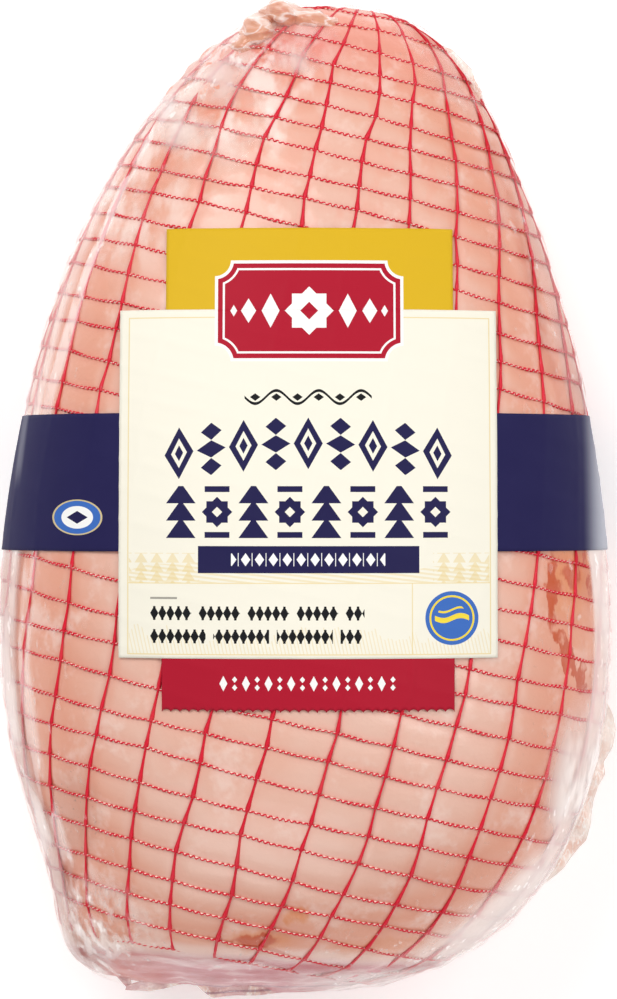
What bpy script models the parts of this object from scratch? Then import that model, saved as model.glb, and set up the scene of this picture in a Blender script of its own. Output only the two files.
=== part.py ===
"""A boned, cooked ham in an elastic net, sealed in clear shrink film with a wrap-round label.

It lies on its back with the rind and the label up: +Z up, the narrow shank end at +Y, metres.
The sealed ham is one solid with the net as raised lines, and each part of the label is a thin
shell that follows the ham.
"""

import math

import bmesh
import bpy
import numpy as np
from mathutils import Vector

# Overall size of the ham
LENGTH = 0.2960
TIP_Y = 0.1484
CENTRE_X = -0.0006
LEFT_HALF_WIDTH = 0.0914
RIGHT_HALF_WIDTH = 0.0909
HEIGHT = 0.118
EQUATOR = 0.050

# Taper from the shank end (near) to the butt end (far), as powers of the way along
LEFT_TAPER = {"near": 0.606, "power": 0.63, "far": 0.350}
RIGHT_TAPER = {"near": 0.310, "power": 4.63, "far": 0.460}
HEIGHT_TAPER = {"near": 0.46, "power": 2.4, "far": 0.30}
DEPTH_TAPER = {"near": 0.30, "power": 2.4, "far": 0.30}
SECTION_WIDTH_POWER = 2.2
CROWN_POWER = 2.15
UNDERSIDE_POWER = 2.6
UNDERSIDE_SAG = 0.010
BUTT_LEAN = 0.20
BUTT_LEAN_FROM = 0.72

# Corner of lean meat that stands out at the left of the butt
BUTT_CORNER = {"reach": 0.026, "at": 1.020, "spread": 0.095}

# Slow unevenness of the meat
LUMP_SHARE = 0.022
LUMP_X = 0.019
LUMP_Y = 0.027

# Hollow under the label band, so that the ham rests on its own flat back
BAND_RECESS = 0.0013
BAND_RECESS_FLAT = 0.024
BAND_RECESS_RAMP = 0.010

# Elastic net: it sits askew on the ham, so its axis leans in the plan
NET_TILT = math.radians(13.4)
NET_COLUMNS = 28
NET_FRONT_COLUMNS = 16
NET_PITCH = 0.0093
NET_PITCH_DROP = 0.16
NET_LABEL_SHRINK = 0.037
NET_LABEL_STATIONS = (-0.050, 0.070)
NET_LABEL_RAMP = 0.010
NET_DROP_FROM = 0.035
NET_DROP_TO = 0.110
NET_DRIFT = -0.086
NET_BUTT_DRIFT = 0.106
NET_BUTT_DRIFT_FROM = -0.045
NET_OFFSET = 0.0014
NET_GATHER = 0.78
NET_START = 0.014
NET_BUTT_MARGIN = 0.016
STRAND_HALF_WIDTH = 0.0010
STRAND_HEIGHT = 0.0009

CAP_RINGS = 4
CAP_SETBACK = 0.018
RAY_COUNT = 240
RAY_REACH = 0.22
BISECTIONS = 40

# Label, seen from above
FILM_GAP = 0.0003
LABEL_THICKNESS = 0.0006
JOINT_GAP = 0.0004
PANEL_X = (-0.0545, 0.0545)
PANEL_Y = (-0.0458, 0.0550)
UPPER_TAB_X = (-0.0412, 0.0420)
UPPER_TAB_HEIGHT = 0.0236
LOWER_TAB_X = (-0.0420, 0.0420)
LOWER_TAB_HEIGHT = 0.0150
PINK_COUNT = 32
PINK_DEPTH = 0.0008
BAND_Y = (-0.0151, 0.0250)
BAND_SEGMENTS = 56
BAND_ROWS = 5

# Gathered fat and skin at the shank end: centre, radii and turn about Z
SHANK_LOBES = (
    ("shank_roll", (-0.0080, 0.1457, 0.055), (0.0072, 0.0044, 0.012), -8),
    ("shank_shoulder", (-0.0150, 0.1402, 0.050), (0.0058, 0.0060, 0.014), 30),
    ("shank_fold", (-0.0270, 0.1285, 0.052), (0.0140, 0.0065, 0.015), 34),
    ("shank_flap", (0.0060, 0.1425, 0.058), (0.0190, 0.0050, 0.011), -14),
)
LOBE_UNEVEN = 0.10

# Loose film at the wide end: directions in the plan from and to, reach and pleats
FILM_FLAPS = (
    ("right_ear", 315, 330, 0.0062, 3),
    ("right_pleat", 299, 316, 0.0050, 2),
    ("butt_seam", 246, 273, 0.0026, 4),
    ("left_corner", 229, 247, 0.0012, 3),
)
FLAP_ROOT = 0.008
FLAP_THICKNESS = 0.0016
FLAP_PLEAT = 0.0022
FLAP_STEPS = 12

COLOURS = {
    "sealed_ham": (0.80, 0.47, 0.36, 0.32),
    "label_band": (0.027, 0.023, 0.090, 0.40),
    "label_panel": (0.97, 0.94, 0.80, 0.50),
    "label_upper_tab": (0.80, 0.50, 0.025, 0.50),
    "label_lower_tab": (0.45, 0.016, 0.034, 0.50),
}


def clear_scene():
    for obj in list(bpy.data.objects):
        bpy.data.objects.remove(obj)


def smoothstep(value, start, end):
    share = np.clip((value - start) / (end - start), 0.0, 1.0)
    return share * share * (3.0 - 2.0 * share)


def taper(along, near, power, far):
    """1 at the fullest place and 0 at both ends, for a way along from 0 to 1."""
    along = np.clip(along, 1e-6, 1.0 - 1e-6)
    fullest = (near / (near + far * power)) ** (1.0 / power)

    def shape(way):
        return way**near * (1.0 - way**power) ** far

    return shape(along) / shape(fullest)


def way_along(y, z):
    """0 at the shank end and 1 at the butt, whose cut face leans back from the equator."""
    plain = (TIP_Y - y) / LENGTH
    lean = BUTT_LEAN * np.abs(z - EQUATOR) / LENGTH
    return plain + lean * smoothstep(plain, BUTT_LEAN_FROM, 1.0)


def half_widths(along):
    corner = (along - BUTT_CORNER["at"]) / BUTT_CORNER["spread"]
    left = LEFT_HALF_WIDTH * taper(along, **LEFT_TAPER)
    left = left + BUTT_CORNER["reach"] * np.exp(-corner * corner) * (along < 1.0)
    right = RIGHT_HALF_WIDTH * taper(along, **RIGHT_TAPER)
    return left, right


def unevenness(points):
    x, y, z = points[..., 0], points[..., 1], points[..., 2]
    broad = np.sin(x / LUMP_X + 1.3) * np.sin(y / LUMP_Y + 0.4)
    cross = np.sin((x + y) / (1.3 * LUMP_Y) + z / LUMP_X)
    return LUMP_SHARE * (broad + 0.6 * cross)


def floor_height(y):
    band_middle = sum(BAND_Y) / 2
    away = np.abs(y - band_middle)
    end = BAND_RECESS_FLAT + BAND_RECESS_RAMP
    return BAND_RECESS * (1.0 - smoothstep(away, BAND_RECESS_FLAT, end))


def level(points):
    """Below 1 inside the ham and above 1 outside it."""
    x, y, z = points[..., 0], points[..., 1], points[..., 2]
    along = way_along(y, z)
    left, right = half_widths(along)
    across = x - CENTRE_X
    width = np.where(across < 0.0, left, right)
    up = (HEIGHT - EQUATOR) * taper(along, **HEIGHT_TAPER)
    down = (EQUATOR + UNDERSIDE_SAG) * taper(along, **DEPTH_TAPER)
    rise = z - EQUATOR
    sideways = np.abs(across / width) ** SECTION_WIDTH_POWER
    upward = np.abs(rise / up) ** CROWN_POWER
    downward = np.abs(rise / down) ** UNDERSIDE_POWER
    value = sideways + np.where(rise > 0.0, upward, downward) + unevenness(points)
    outside = (along <= 0.0) | (along >= 1.0) | (z < floor_height(y))
    return np.where(outside, 9.0, value)


def cast(origin, directions):
    """Surface points met by rays from a point inside the ham."""
    near = np.zeros(len(directions))
    far = np.full(len(directions), RAY_REACH)
    for _ in range(BISECTIONS):
        middle = (near + far) / 2.0
        inside = level(origin + middle[:, None] * directions) < 1.0
        near = np.where(inside, middle, near)
        far = np.where(inside, far, middle)
    return origin + near[:, None] * directions


def section(origin, across):
    """Closed outline of the ham in the upright plane through origin along across."""
    angles = np.linspace(0.0, 2.0 * math.pi, RAY_COUNT, endpoint=False)
    directions = np.cos(angles)[:, None] * across + np.sin(angles)[:, None] * [0.0, 0.0, 1.0]
    reach = np.linspace(-0.15, 0.15, 1201)
    line = origin + reach[:, None] * across
    inside = reach[level(line) < 1.0]
    if not len(inside):
        return None
    middle = origin + (inside[0] + inside[-1]) / 2.0 * across
    return cast(middle, directions)


def arc_lengths(outline):
    """Distance along a closed outline, with its first point again at the end."""
    closed = np.vstack([outline, outline[:1]])
    steps = np.linalg.norm(np.diff(closed, axis=0), axis=1)
    return closed, np.concatenate([[0.0], np.cumsum(steps)])


def points_at(outline, distances):
    closed, lengths = arc_lengths(outline)
    wrapped = np.mod(distances, lengths[-1])
    return np.stack([np.interp(wrapped, lengths, closed[:, axis]) for axis in range(3)], axis=1)


NET_AXIS = np.array([math.sin(NET_TILT), math.cos(NET_TILT), 0.0])
NET_ACROSS = np.array([math.cos(NET_TILT), -math.sin(NET_TILT), 0.0])


def net_reach():
    """The net axis values where the ham begins and ends."""
    along = np.linspace(0.0005, 0.9995, 2000)
    left, right = half_widths(along)
    y = TIP_Y - LENGTH * along
    values = np.concatenate([
        (CENTRE_X - left) * NET_AXIS[0] + y * NET_AXIS[1],
        (CENTRE_X + right) * NET_AXIS[0] + y * NET_AXIS[1],
    ])
    return values.max(), values.min()


def crown_point(station):
    """The surface point straight above the net axis."""
    base = station * NET_AXIS + np.array([0.0, 0.0, EQUATOR])
    return cast(base, np.array([[0.0, 0.0, 1.0]]))[0]


def hoop_stations():
    """Net axis values of the hoops, a pitch apart along the crown of the ham."""
    first, last = net_reach()
    stations = np.arange(first - NET_START, last + NET_BUTT_MARGIN, -0.0005)
    crown = np.array([crown_point(station) for station in stations])
    steps = np.linalg.norm(np.diff(crown, axis=0), axis=1)
    pitch = NET_PITCH * (1.0 - NET_PITCH_DROP * smoothstep(stations, NET_DROP_FROM, NET_DROP_TO))
    low, high = NET_LABEL_STATIONS
    covered = smoothstep(stations, low - NET_LABEL_RAMP, low + NET_LABEL_RAMP)
    covered = covered * (1.0 - smoothstep(stations, high - NET_LABEL_RAMP, high + NET_LABEL_RAMP))
    pitch = pitch * (1.0 - NET_LABEL_SHRINK * covered)
    turns = np.concatenate([[0.0], np.cumsum(steps / pitch[:-1])])
    hoops = int(turns[-1])
    return np.interp(np.arange(hoops + 1), turns, stations)


def column_shares():
    """Way round a hoop of each point: the strands and, on the front, a point between them."""
    half = NET_FRONT_COLUMNS // 2
    front = [step / 2.0 for step in range(-2 * half, 2 * half)]
    back = list(range(half, NET_COLUMNS - half))
    return np.array(front + back) / NET_COLUMNS


def hoop_ring(station, shares, widest):
    outline = section(station * NET_AXIS + np.array([0.0, 0.0, EQUATOR]), NET_ACROSS)
    closed, lengths = arc_lengths(outline)
    perimeter = lengths[-1]
    across = closed @ NET_ACROSS
    above = closed[:, 2] > EQUATOR
    crossing = np.where((across[:-1] >= 0.0) & (across[1:] < 0.0) & above[:-1])[0]
    start = perimeter / 4.0
    if len(crossing):
        before, after = across[crossing[0]], across[crossing[0] + 1]
        step = lengths[crossing[0] + 1] - lengths[crossing[0]]
        start = lengths[crossing[0]] + step * before / (before - after)
    gather = NET_GATHER * (1.0 - perimeter / widest)
    spread = shares + gather * np.sin(2.0 * math.pi * shares) / (2.0 * math.pi)
    shift = NET_OFFSET + NET_DRIFT * station
    shift = shift + NET_BUTT_DRIFT * min(station - NET_BUTT_DRIFT_FROM, 0.0)
    return points_at(outline, start - shift - spread * perimeter)


def cap_rings(ring, onward):
    """Rings that close the ham beyond an end hoop, and the pole where they meet."""
    inside = ring.mean(axis=0) - CAP_SETBACK * onward
    spokes = ring - inside
    spokes = spokes / np.linalg.norm(spokes, axis=1, keepdims=True)
    rings = []
    for step in range(1, CAP_RINGS + 1):
        share = step / (CAP_RINGS + 1)
        turned = (1.0 - share) * spokes + share * onward
        rings.append(cast(inside, turned / np.linalg.norm(turned, axis=1, keepdims=True)))
    return rings, cast(inside, onward[None, :])[0]


def net_hoops():
    """Rings of points where the hoops of the net lie, from the shank end to the butt."""
    shares = column_shares()
    middle = section(np.array([0.0, 0.0, EQUATOR]), NET_ACROSS)
    widest = arc_lengths(middle)[1][-1]
    return [hoop_ring(station, shares, widest) for station in hoop_stations()]


def under_label(centre):
    """True if the label hides a cell of the net whose middle is here."""
    x, y, z = centre
    margin = NET_PITCH
    above = z > EQUATOR
    panel = PANEL_X[0] + margin < x < PANEL_X[1] - margin
    panel = panel and PANEL_Y[0] + margin < y < PANEL_Y[1] - margin
    band = BAND_Y[0] + margin < y < BAND_Y[1] - margin
    return band or (panel and above)


def net_cells(bm, verts, first_hoop, last_hoop):
    """Skins the rings. Front cells between hoops are six-sided, so that they can be inset whole."""
    front = 2 * NET_FRONT_COLUMNS
    count = len(verts[0])
    cells = []
    for row in range(len(verts) - 1):
        upper, lower = verts[row], verts[row + 1]
        netted = first_hoop <= row < last_hoop
        step = 2 if netted else 1
        for start in range(0, front, step):
            span = [(start + i) % count for i in range(step + 1)]
            face = bm.faces.new([upper[i] for i in span] + [lower[i] for i in reversed(span)])
            if netted:
                cells.append(face)
        for start in range(front, count):
            end = (start + 1) % count
            bm.faces.new([upper[start], upper[end], lower[end], lower[start]])
    return cells


def fan(bm, ring, point):
    """Closes an end ring with triangles that meet at a pole."""
    pole = bm.verts.new(point)
    for one, two in zip(ring, ring[1:] + ring[:1]):
        bm.faces.new([one, two, pole])


def sink_cells(bm, cells):
    """Insets each visible cell of the net below its strands, and creases it down its middle."""
    shown = [face for face in cells if not under_label(face.calc_center_median())]
    hidden = [face for face in cells if face not in set(shown)]
    bmesh.ops.inset_individual(
        bm,
        faces=shown,
        thickness=STRAND_HALF_WIDTH,
        depth=-STRAND_HEIGHT,
        use_even_offset=True,
    )
    for face in shown + hidden:
        corners = list(face.verts)
        bmesh.utils.face_split(face, corners[1], corners[4])


def build_ham():
    hoops = net_hoops()
    shank_rings, shank_pole = cap_rings(hoops[0], NET_AXIS)
    butt_rings, butt_pole = cap_rings(hoops[-1], -NET_AXIS)
    rings = shank_rings[::-1] + hoops + butt_rings
    bm = bmesh.new()
    verts = [[bm.verts.new(point) for point in ring] for ring in rings]
    cells = net_cells(bm, verts, CAP_RINGS, CAP_RINGS + len(hoops) - 1)
    fan(bm, verts[0], shank_pole)
    fan(bm, verts[-1], butt_pole)
    bmesh.ops.recalc_face_normals(bm, faces=bm.faces)
    sink_cells(bm, cells)
    bmesh.ops.triangulate(bm, faces=bm.faces)
    bmesh.ops.recalc_face_normals(bm, faces=bm.faces)
    return finish_object(bm, "sealed_ham")


def finish_object(bm, name):
    mesh = bpy.data.meshes.new(name)
    bm.to_mesh(mesh)
    bm.free()
    obj = bpy.data.objects.new(name, mesh)
    bpy.context.scene.collection.objects.link(obj)
    return obj


def shank_lobe(name, centre, radii, turn):
    """A soft, uneven lump of gathered skin."""
    bm = bmesh.new()
    bmesh.ops.create_icosphere(bm, subdivisions=2, radius=1.0)
    for index, vert in enumerate(bm.verts):
        uneven = 1.0 + LOBE_UNEVEN * math.sin(4.0 * vert.co.x + 3.0 * vert.co.z + index % 3)
        vert.co = Vector(radius * value * uneven for radius, value in zip(radii, vert.co))
    obj = finish_object(bm, name)
    obj.location = centre
    obj.rotation_euler.z = math.radians(turn)
    return obj


def film_flap(name, start, end, reach, pleats):
    """A thin pleated wing of loose film that stands out from the ham's widest line."""
    angles = np.radians(np.linspace(start, end, FLAP_STEPS + 1))
    outward = np.stack([np.cos(angles), np.sin(angles), np.zeros(len(angles))], axis=1)
    outline = cast(np.array([0.0, 0.0, EQUATOR]), outward)
    thick = Vector((0.0, 0.0, FLAP_THICKNESS / 2.0))
    bm = bmesh.new()
    rows = []
    for step, (point, way) in enumerate(zip(outline, outward)):
        share = step / FLAP_STEPS
        swell = math.sin(math.pi * share) ** 0.7
        pleat = FLAP_PLEAT * swell * math.sin(2.0 * math.pi * pleats * share)
        point, way = Vector(point), Vector(way)
        root = point - way * FLAP_ROOT
        waist = point + way * (reach * swell * 0.4) + Vector((0.0, 0.0, pleat * 0.5))
        rim = point + way * (reach * swell + 0.0002) + Vector((0.0, 0.0, pleat))
        loop = [root + thick, waist + thick, rim + thick * 0.6]
        loop += [rim - thick * 0.6, waist - thick, root - thick]
        rows.append([bm.verts.new(corner) for corner in loop])
    for one, two in zip(rows, rows[1:]):
        for index in range(len(one)):
            after = (index + 1) % len(one)
            bm.faces.new([one[index], one[after], two[after], two[index]])
    bm.faces.new(rows[0])
    bm.faces.new(rows[-1])
    bmesh.ops.triangulate(bm, faces=bm.faces)
    bmesh.ops.recalc_face_normals(bm, faces=bm.faces)
    return finish_object(bm, name)


def join_to(obj, extras):
    """Unites the extras with obj by one Boolean and removes them."""
    collection = bpy.data.collections.new("joined")
    bpy.context.scene.collection.children.link(collection)
    for extra in extras:
        bpy.context.scene.collection.objects.unlink(extra)
        collection.objects.link(extra)
    union = obj.modifiers.new("union", "BOOLEAN")
    union.operation = "UNION"
    union.operand_type = "COLLECTION"
    union.collection = collection
    union.solver = "EXACT"
    bpy.context.view_layer.update()
    graph = bpy.context.evaluated_depsgraph_get()
    joined = bpy.data.meshes.new_from_object(obj.evaluated_get(graph))
    obj.modifiers.remove(union)
    obj.data = joined
    for extra in extras:
        bpy.data.objects.remove(extra)
    bpy.data.collections.remove(collection)


def surface_normals(points):
    step = 1e-5
    slopes = []
    for axis in range(3):
        shift = np.zeros(3)
        shift[axis] = step
        slopes.append(level(points + shift) - level(points - shift))
    slopes = np.stack(slopes, axis=-1)
    return slopes / np.linalg.norm(slopes, axis=-1, keepdims=True)


def above(plan):
    """Surface points straight above places in the plan."""
    low = np.full(len(plan), EQUATOR)
    high = np.full(len(plan), HEIGHT * 1.2)
    for _ in range(BISECTIONS):
        middle = (low + high) / 2.0
        inside = level(np.column_stack([plan, middle])) < 1.0
        low = np.where(inside, middle, low)
        high = np.where(inside, high, middle)
    return np.column_stack([plan, low])


def shell(name, rows):
    """A thin closed shell over a grid of surface points, given as rows of equal length."""
    grid = np.array(rows)
    flat = grid.reshape(-1, 3)
    normals = surface_normals(flat)
    inner = flat + normals * FILM_GAP
    outer = flat + normals * (FILM_GAP + LABEL_THICKNESS)
    bm = bmesh.new()
    inside = [bm.verts.new(point) for point in inner]
    outside = [bm.verts.new(point) for point in outer]
    high, wide = grid.shape[:2]

    def at(row, column):
        return row * wide + column

    for row in range(high - 1):
        for column in range(wide - 1):
            loop = [at(row, column), at(row, column + 1), at(row + 1, column + 1), at(row + 1, column)]
            bm.faces.new([outside[i] for i in loop])
            bm.faces.new([inside[i] for i in reversed(loop)])
    border = [at(0, column) for column in range(wide)]
    border += [at(row, wide - 1) for row in range(1, high)]
    border += [at(high - 1, column) for column in range(wide - 2, -1, -1)]
    border += [at(row, 0) for row in range(high - 2, 0, -1)]
    for one, two in zip(border, border[1:] + border[:1]):
        bm.faces.new([outside[one], outside[two], inside[two], inside[one]])
    bmesh.ops.triangulate(bm, faces=bm.faces)
    bmesh.ops.recalc_face_normals(bm, faces=bm.faces)
    return finish_object(bm, name)


def plan_grid(x_values, y_rows):
    """Rows of surface points above a plan grid. Each row has its own y for every x."""
    return [above(np.column_stack([x_values, row])) for row in y_rows]


def build_panel():
    x_values = np.linspace(*PANEL_X, 17)
    rows = [np.full(len(x_values), y) for y in np.linspace(*PANEL_Y, 15)]
    return shell("label_panel", plan_grid(x_values, rows))


def build_upper_tab():
    x_values = np.linspace(*UPPER_TAB_X, 13)
    start = PANEL_Y[1] + JOINT_GAP
    rows = [np.full(len(x_values), y) for y in np.linspace(start, start + UPPER_TAB_HEIGHT, 5)]
    return shell("label_upper_tab", plan_grid(x_values, rows))


def build_lower_tab():
    """The lower tab has a pinked edge: one tooth for every two points."""
    x_values = np.linspace(*LOWER_TAB_X, 2 * PINK_COUNT + 1)
    teeth = PINK_DEPTH * (np.arange(len(x_values)) % 2)
    start = PANEL_Y[0] - JOINT_GAP
    end = start - LOWER_TAB_HEIGHT
    rows = [np.full(len(x_values), start), np.full(len(x_values), (start + end) / 2.0), end + teeth]
    return shell("label_lower_tab", plan_grid(x_values, rows))


def band_arc(y):
    """Points round the ham's back at y, from the panel's right edge to its left edge."""
    outline = section(np.array([CENTRE_X, y, EQUATOR]), np.array([1.0, 0.0, 0.0]))
    closed, lengths = arc_lengths(outline)
    x = closed[:, 0]
    right_edge = PANEL_X[1] + JOINT_GAP
    left_edge = PANEL_X[0] - JOINT_GAP
    upper = closed[:-1, 2] > EQUATOR
    right = np.where(upper & (x[:-1] >= right_edge) & (x[1:] < right_edge))[0][0]
    left = np.where(upper & (x[:-1] >= left_edge) & (x[1:] < left_edge))[0][0]
    right_at = np.interp(-right_edge, -x[right : right + 2], lengths[right : right + 2])
    left_at = np.interp(-left_edge, -x[left : left + 2], lengths[left : left + 2])
    end = left_at - lengths[-1]
    return points_at(outline, np.linspace(right_at, end, BAND_SEGMENTS + 1))


def build_band():
    return shell("label_band", [band_arc(y) for y in np.linspace(*BAND_Y, BAND_ROWS)])


def paint(obj):
    red, green, blue, roughness = COLOURS[obj.name]
    material = bpy.data.materials.new(obj.name)
    material.use_nodes = True
    shader = material.node_tree.nodes["Principled BSDF"]
    shader.inputs["Base Color"].default_value = (red, green, blue, 1.0)
    shader.inputs["Roughness"].default_value = roughness
    shader.inputs["Metallic"].default_value = 0.0
    obj.data.materials.clear()
    obj.data.materials.append(material)


def main():
    clear_scene()
    ham = build_ham()
    extras = [shank_lobe(*lobe) for lobe in SHANK_LOBES]
    extras += [film_flap(*flap) for flap in FILM_FLAPS]
    join_to(ham, extras)
    for obj in (ham, build_panel(), build_upper_tab(), build_lower_tab(), build_band()):
        paint(obj)


main()
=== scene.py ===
"""Dresses the solids of a vacuum-packed netted ham: meat, elastic net, clear film and label."""

import math
from functools import partial

import bmesh
import bpy
import numpy as np
from mathutils import Matrix, Vector, noise
from mathutils.kdtree import KDTree


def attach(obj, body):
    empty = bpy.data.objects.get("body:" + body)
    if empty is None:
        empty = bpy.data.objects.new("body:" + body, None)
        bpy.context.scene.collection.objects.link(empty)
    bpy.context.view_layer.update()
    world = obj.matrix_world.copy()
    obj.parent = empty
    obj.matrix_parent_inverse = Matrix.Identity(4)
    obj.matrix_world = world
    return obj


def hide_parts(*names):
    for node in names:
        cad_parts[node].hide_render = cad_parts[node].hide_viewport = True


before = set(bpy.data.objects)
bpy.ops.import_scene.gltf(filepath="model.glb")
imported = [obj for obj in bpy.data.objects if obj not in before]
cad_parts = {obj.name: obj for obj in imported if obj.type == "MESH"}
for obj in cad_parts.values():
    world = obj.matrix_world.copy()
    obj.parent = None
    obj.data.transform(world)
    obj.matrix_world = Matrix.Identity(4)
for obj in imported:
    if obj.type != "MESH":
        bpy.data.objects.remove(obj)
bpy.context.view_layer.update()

bl_info = {
    "name": "Netted Ham",
    "version": (1, 0, 0),
    "blender": (4, 5, 0),
    "location": "3D View > Sidebar > Ham",
    "description": "Makes a boned ham in its net, film and label, on a plain stage",
    "category": "Object",
}

# Powers of the way along the ham, from the shank end (near) to the butt end (far)
LEFT_TAPER = {"near": 0.606, "power": 0.63, "far": 0.350}
RIGHT_TAPER = {"near": 0.310, "power": 4.63, "far": 0.460}
HEIGHT_TAPER = {"near": 0.46, "power": 2.4, "far": 0.30}
DEPTH_TAPER = {"near": 0.30, "power": 2.4, "far": 0.30}
SECTION_WIDTH_POWER = 2.2
CROWN_POWER = 2.15
UNDERSIDE_POWER = 2.6
UNDERSIDE_SAG = 0.010
BUTT_LEAN = 0.20
BUTT_LEAN_FROM = 0.72
BUTT_CORNER = {"reach": 0.026, "at": 1.020, "spread": 0.095}
LUMP_SHARE = 0.022
LUMP_X = 0.019
LUMP_Y = 0.027
BAND_RECESS = 0.0013
BAND_RECESS_FLAT = 0.024
BAND_RECESS_RAMP = 0.010

# How the net lies: its pitch shrinks and its columns gather towards the shank end
NET_PITCH_DROP = 0.16
NET_LABEL_SHRINK = 0.037
NET_LABEL_STATIONS = (-0.050, 0.070)
NET_LABEL_RAMP = 0.010
NET_DROP_FROM = 0.035
NET_DROP_TO = 0.110
NET_DRIFT = -0.086
NET_BUTT_DRIFT = 0.106
NET_BUTT_DRIFT_FROM = -0.045
NET_OFFSET = 0.0014
NET_GATHER = 0.78
NET_START = 0.014
NET_BUTT_MARGIN = 0.016

POINTS_PER_COLUMN = 8
ROWS_PER_HOOP = 4
SHANK_ROWS = 16
BUTT_ROWS = 24
SHANK_HOOPS = 3
BUTT_HOOPS = 1
CAP_SETBACK = 0.018
CROWN_STEP = 0.0005
RAY_COUNT = 240
RAY_REACH = 0.22
SCAN_REACH = 0.15
SCAN_COUNT = 1201
BISECTIONS = 36
SLOPE_STEP = 1e-5
KNOT_SEED = 11
KNOT_JITTER = 0.014
STRAND_SAG = 0.035

# Heights over the ham's smooth surface, from the meat outwards
GROOVE_LIFT = -0.00038
PILLOW_LIFT = 0.00008
CORE_LIFT = -0.00010
YARN_LIFT = 0.00006
RIBBON_LIFT = -0.00008
FILM_LIFT = 0.00064
LOW_PAPER_LIFT = 0.00072
PAPER_LIFT = 0.00088
PLEAT_LIFT = 0.0008

# Below this height the back is pressed flat
BACK_HEIGHT = 0.004

GROOVE_WIDTH = 0.0016
EMBOSS_WIDTH = 0.0012
FILM_THICKNESS = 0.00015
# Emission strength of the film's veils: a painted glow, as if lit by glancing light
FILM_GLOW = 0.17
FOLD_STEP = 0.0007
SHANK_VOXEL = 0.00045

# The label's fixed measures in metres, and its plaque's in millimetres
LABEL_TUCK = 0.003
UPPER_TAB_EDGES = (-0.0412, 0.0420)
LOWER_TAB_LEFT = -0.0420
LOWER_TAB_WIDTH = 0.0840
TOOTH_DEPTH = 0.0008
PLAQUE_MIDDLE = (0.3, 54.8)
PLAQUE_HALF = (27.4, 14.8)
PLAQUE_BITE = 4.6

# Outer edges of the loose film in the plan, in millimetres, and how wide each strip is
LOOSE_FILM = {
    "film_right_shoulder": (
        ((39.8, 137.2), (43.4, 135.6), (46.6, 132.8), (49.6, 129.9), (50.3, 126.6), (52.4, 123.2),
         (53.0, 119.4), (54.6, 114.4)),
        0.006,
    ),
    "film_right_ear": (
        ((88.2, -58.0), (90.3, -61.5), (92.2, -65.5), (93.0, -69.6), (91.9, -74.7), (89.3, -79.5),
         (89.9, -82.9), (87.8, -86.2)),
        0.009,
    ),
    "film_right_web": (
        ((88.4, -83.0), (86.2, -90.7), (85.4, -97.4), (84.0, -102.8), (77.0, -111.3),
         (64.6, -122.1), (51.9, -131.2), (39.9, -136.6), (27.8, -141.0)),
        0.010,
    ),
    "film_butt_seam": (
        ((30.0, -140.6), (17.2, -145.6), (8.2, -148.0), (-8.5, -149.0), (-29.0, -150.4),
         (-32.0, -148.4), (-35.2, -145.4), (-39.0, -146.4), (-47.7, -148.6), (-55.2, -147.9)),
        0.005,
    ),
    "film_left_corner": (
        ((-54.0, -148.0), (-59.2, -142.0), (-63.4, -140.2), (-68.4, -139.4), (-70.0, -134.5),
         (-71.6, -130.0), (-75.2, -122.4), (-77.6, -114.9)),
        0.006,
    ),
}


def span(name, description, default, precision=4):
    """A length setting."""
    return bpy.props.FloatProperty(
        name=name,
        description=description,
        default=default,
        unit="LENGTH",
        precision=precision,
    )


def power(name, default):
    """A light's power setting."""
    words = f"Power of the {name.lower()}"
    return bpy.props.FloatProperty(name=name, description=words, default=default, unit="POWER")


def whole(name, description, default, least):
    """A setting that is a whole number."""
    return bpy.props.IntProperty(name=name, description=description, default=default, min=least)


def colour(name, description, *default):
    """A colour setting."""
    return bpy.props.FloatVectorProperty(
        name=name,
        description=description,
        default=default,
        subtype="COLOR",
        size=3,
        min=0.0,
        max=1.0,
    )


class HamSizes(bpy.types.PropertyGroup):
    length: span("Length", "From the shank end to the butt", 0.2960)
    tip: span("Shank end", "Where the shank end is along Y", 0.1484)
    middle: span("Middle", "Where the two sides meet along X", -0.0006)
    left: span("Left half width", "The most that the left side stands out", 0.0914)
    right: span("Right half width", "The most that the right side stands out", 0.0909)
    height: span("Height", "From the back that the ham lies on to its crown", 0.118)
    equator: span("Widest height", "Height at which the ham is widest", 0.050)


class NetSizes(bpy.types.PropertyGroup):
    columns: whole("Columns", "Lengthwise ribbons round the ham", 28, 8)
    pitch: span("Hoop pitch", "Distance between two hoops along the crown", 0.0093)
    tilt: bpy.props.FloatProperty(
        name="Lean",
        description="How far the net leans from the length of the ham",
        default=math.radians(13.4),
        subtype="ANGLE",
    )
    stitch: span("Stitch", "Length of one chain stitch along a hoop", 0.00175, 5)
    chain: span("Chain half width", "How far a yarn swings to each side of its hoop", 0.00037, 5)
    yarn: span("Yarn radius", "Radius of one chain yarn", 0.00023, 5)
    ribbon_thin: span("Ribbon radius, thin", "Radius of a ribbon just after a hoop", 0.00036, 5)
    ribbon_thick: span("Ribbon radius, thick", "Radius of a ribbon just before a hoop", 0.00074, 5)


class LabelSizes(bpy.types.PropertyGroup):
    panel_half: span("Panel half width", "Half the width of the pale panel", 0.0545)
    panel_low: span("Panel lower edge", "Where the panel ends towards the butt", -0.0458)
    panel_high: span("Panel upper edge", "Where the panel ends towards the shank", 0.0550)
    upper_tab: span("Upper tab", "How far the upper tab stands out of the panel", 0.0240)
    lower_tab: span("Lower tab", "How far the lower tab stands out of the panel", 0.0154)
    band_low: span("Band lower edge", "Where the band ends towards the butt", -0.0151)
    band_high: span("Band upper edge", "Where the band ends towards the shank", 0.0250)
    teeth: whole("Teeth", "Scallops along the lower tab's edge", 32, 1)
    thickness: span("Thickness", "Thickness of the printed label", 0.00012, 5)
    emboss: span("Emboss", "How far the net presses through the label", 0.00014, 5)


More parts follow.
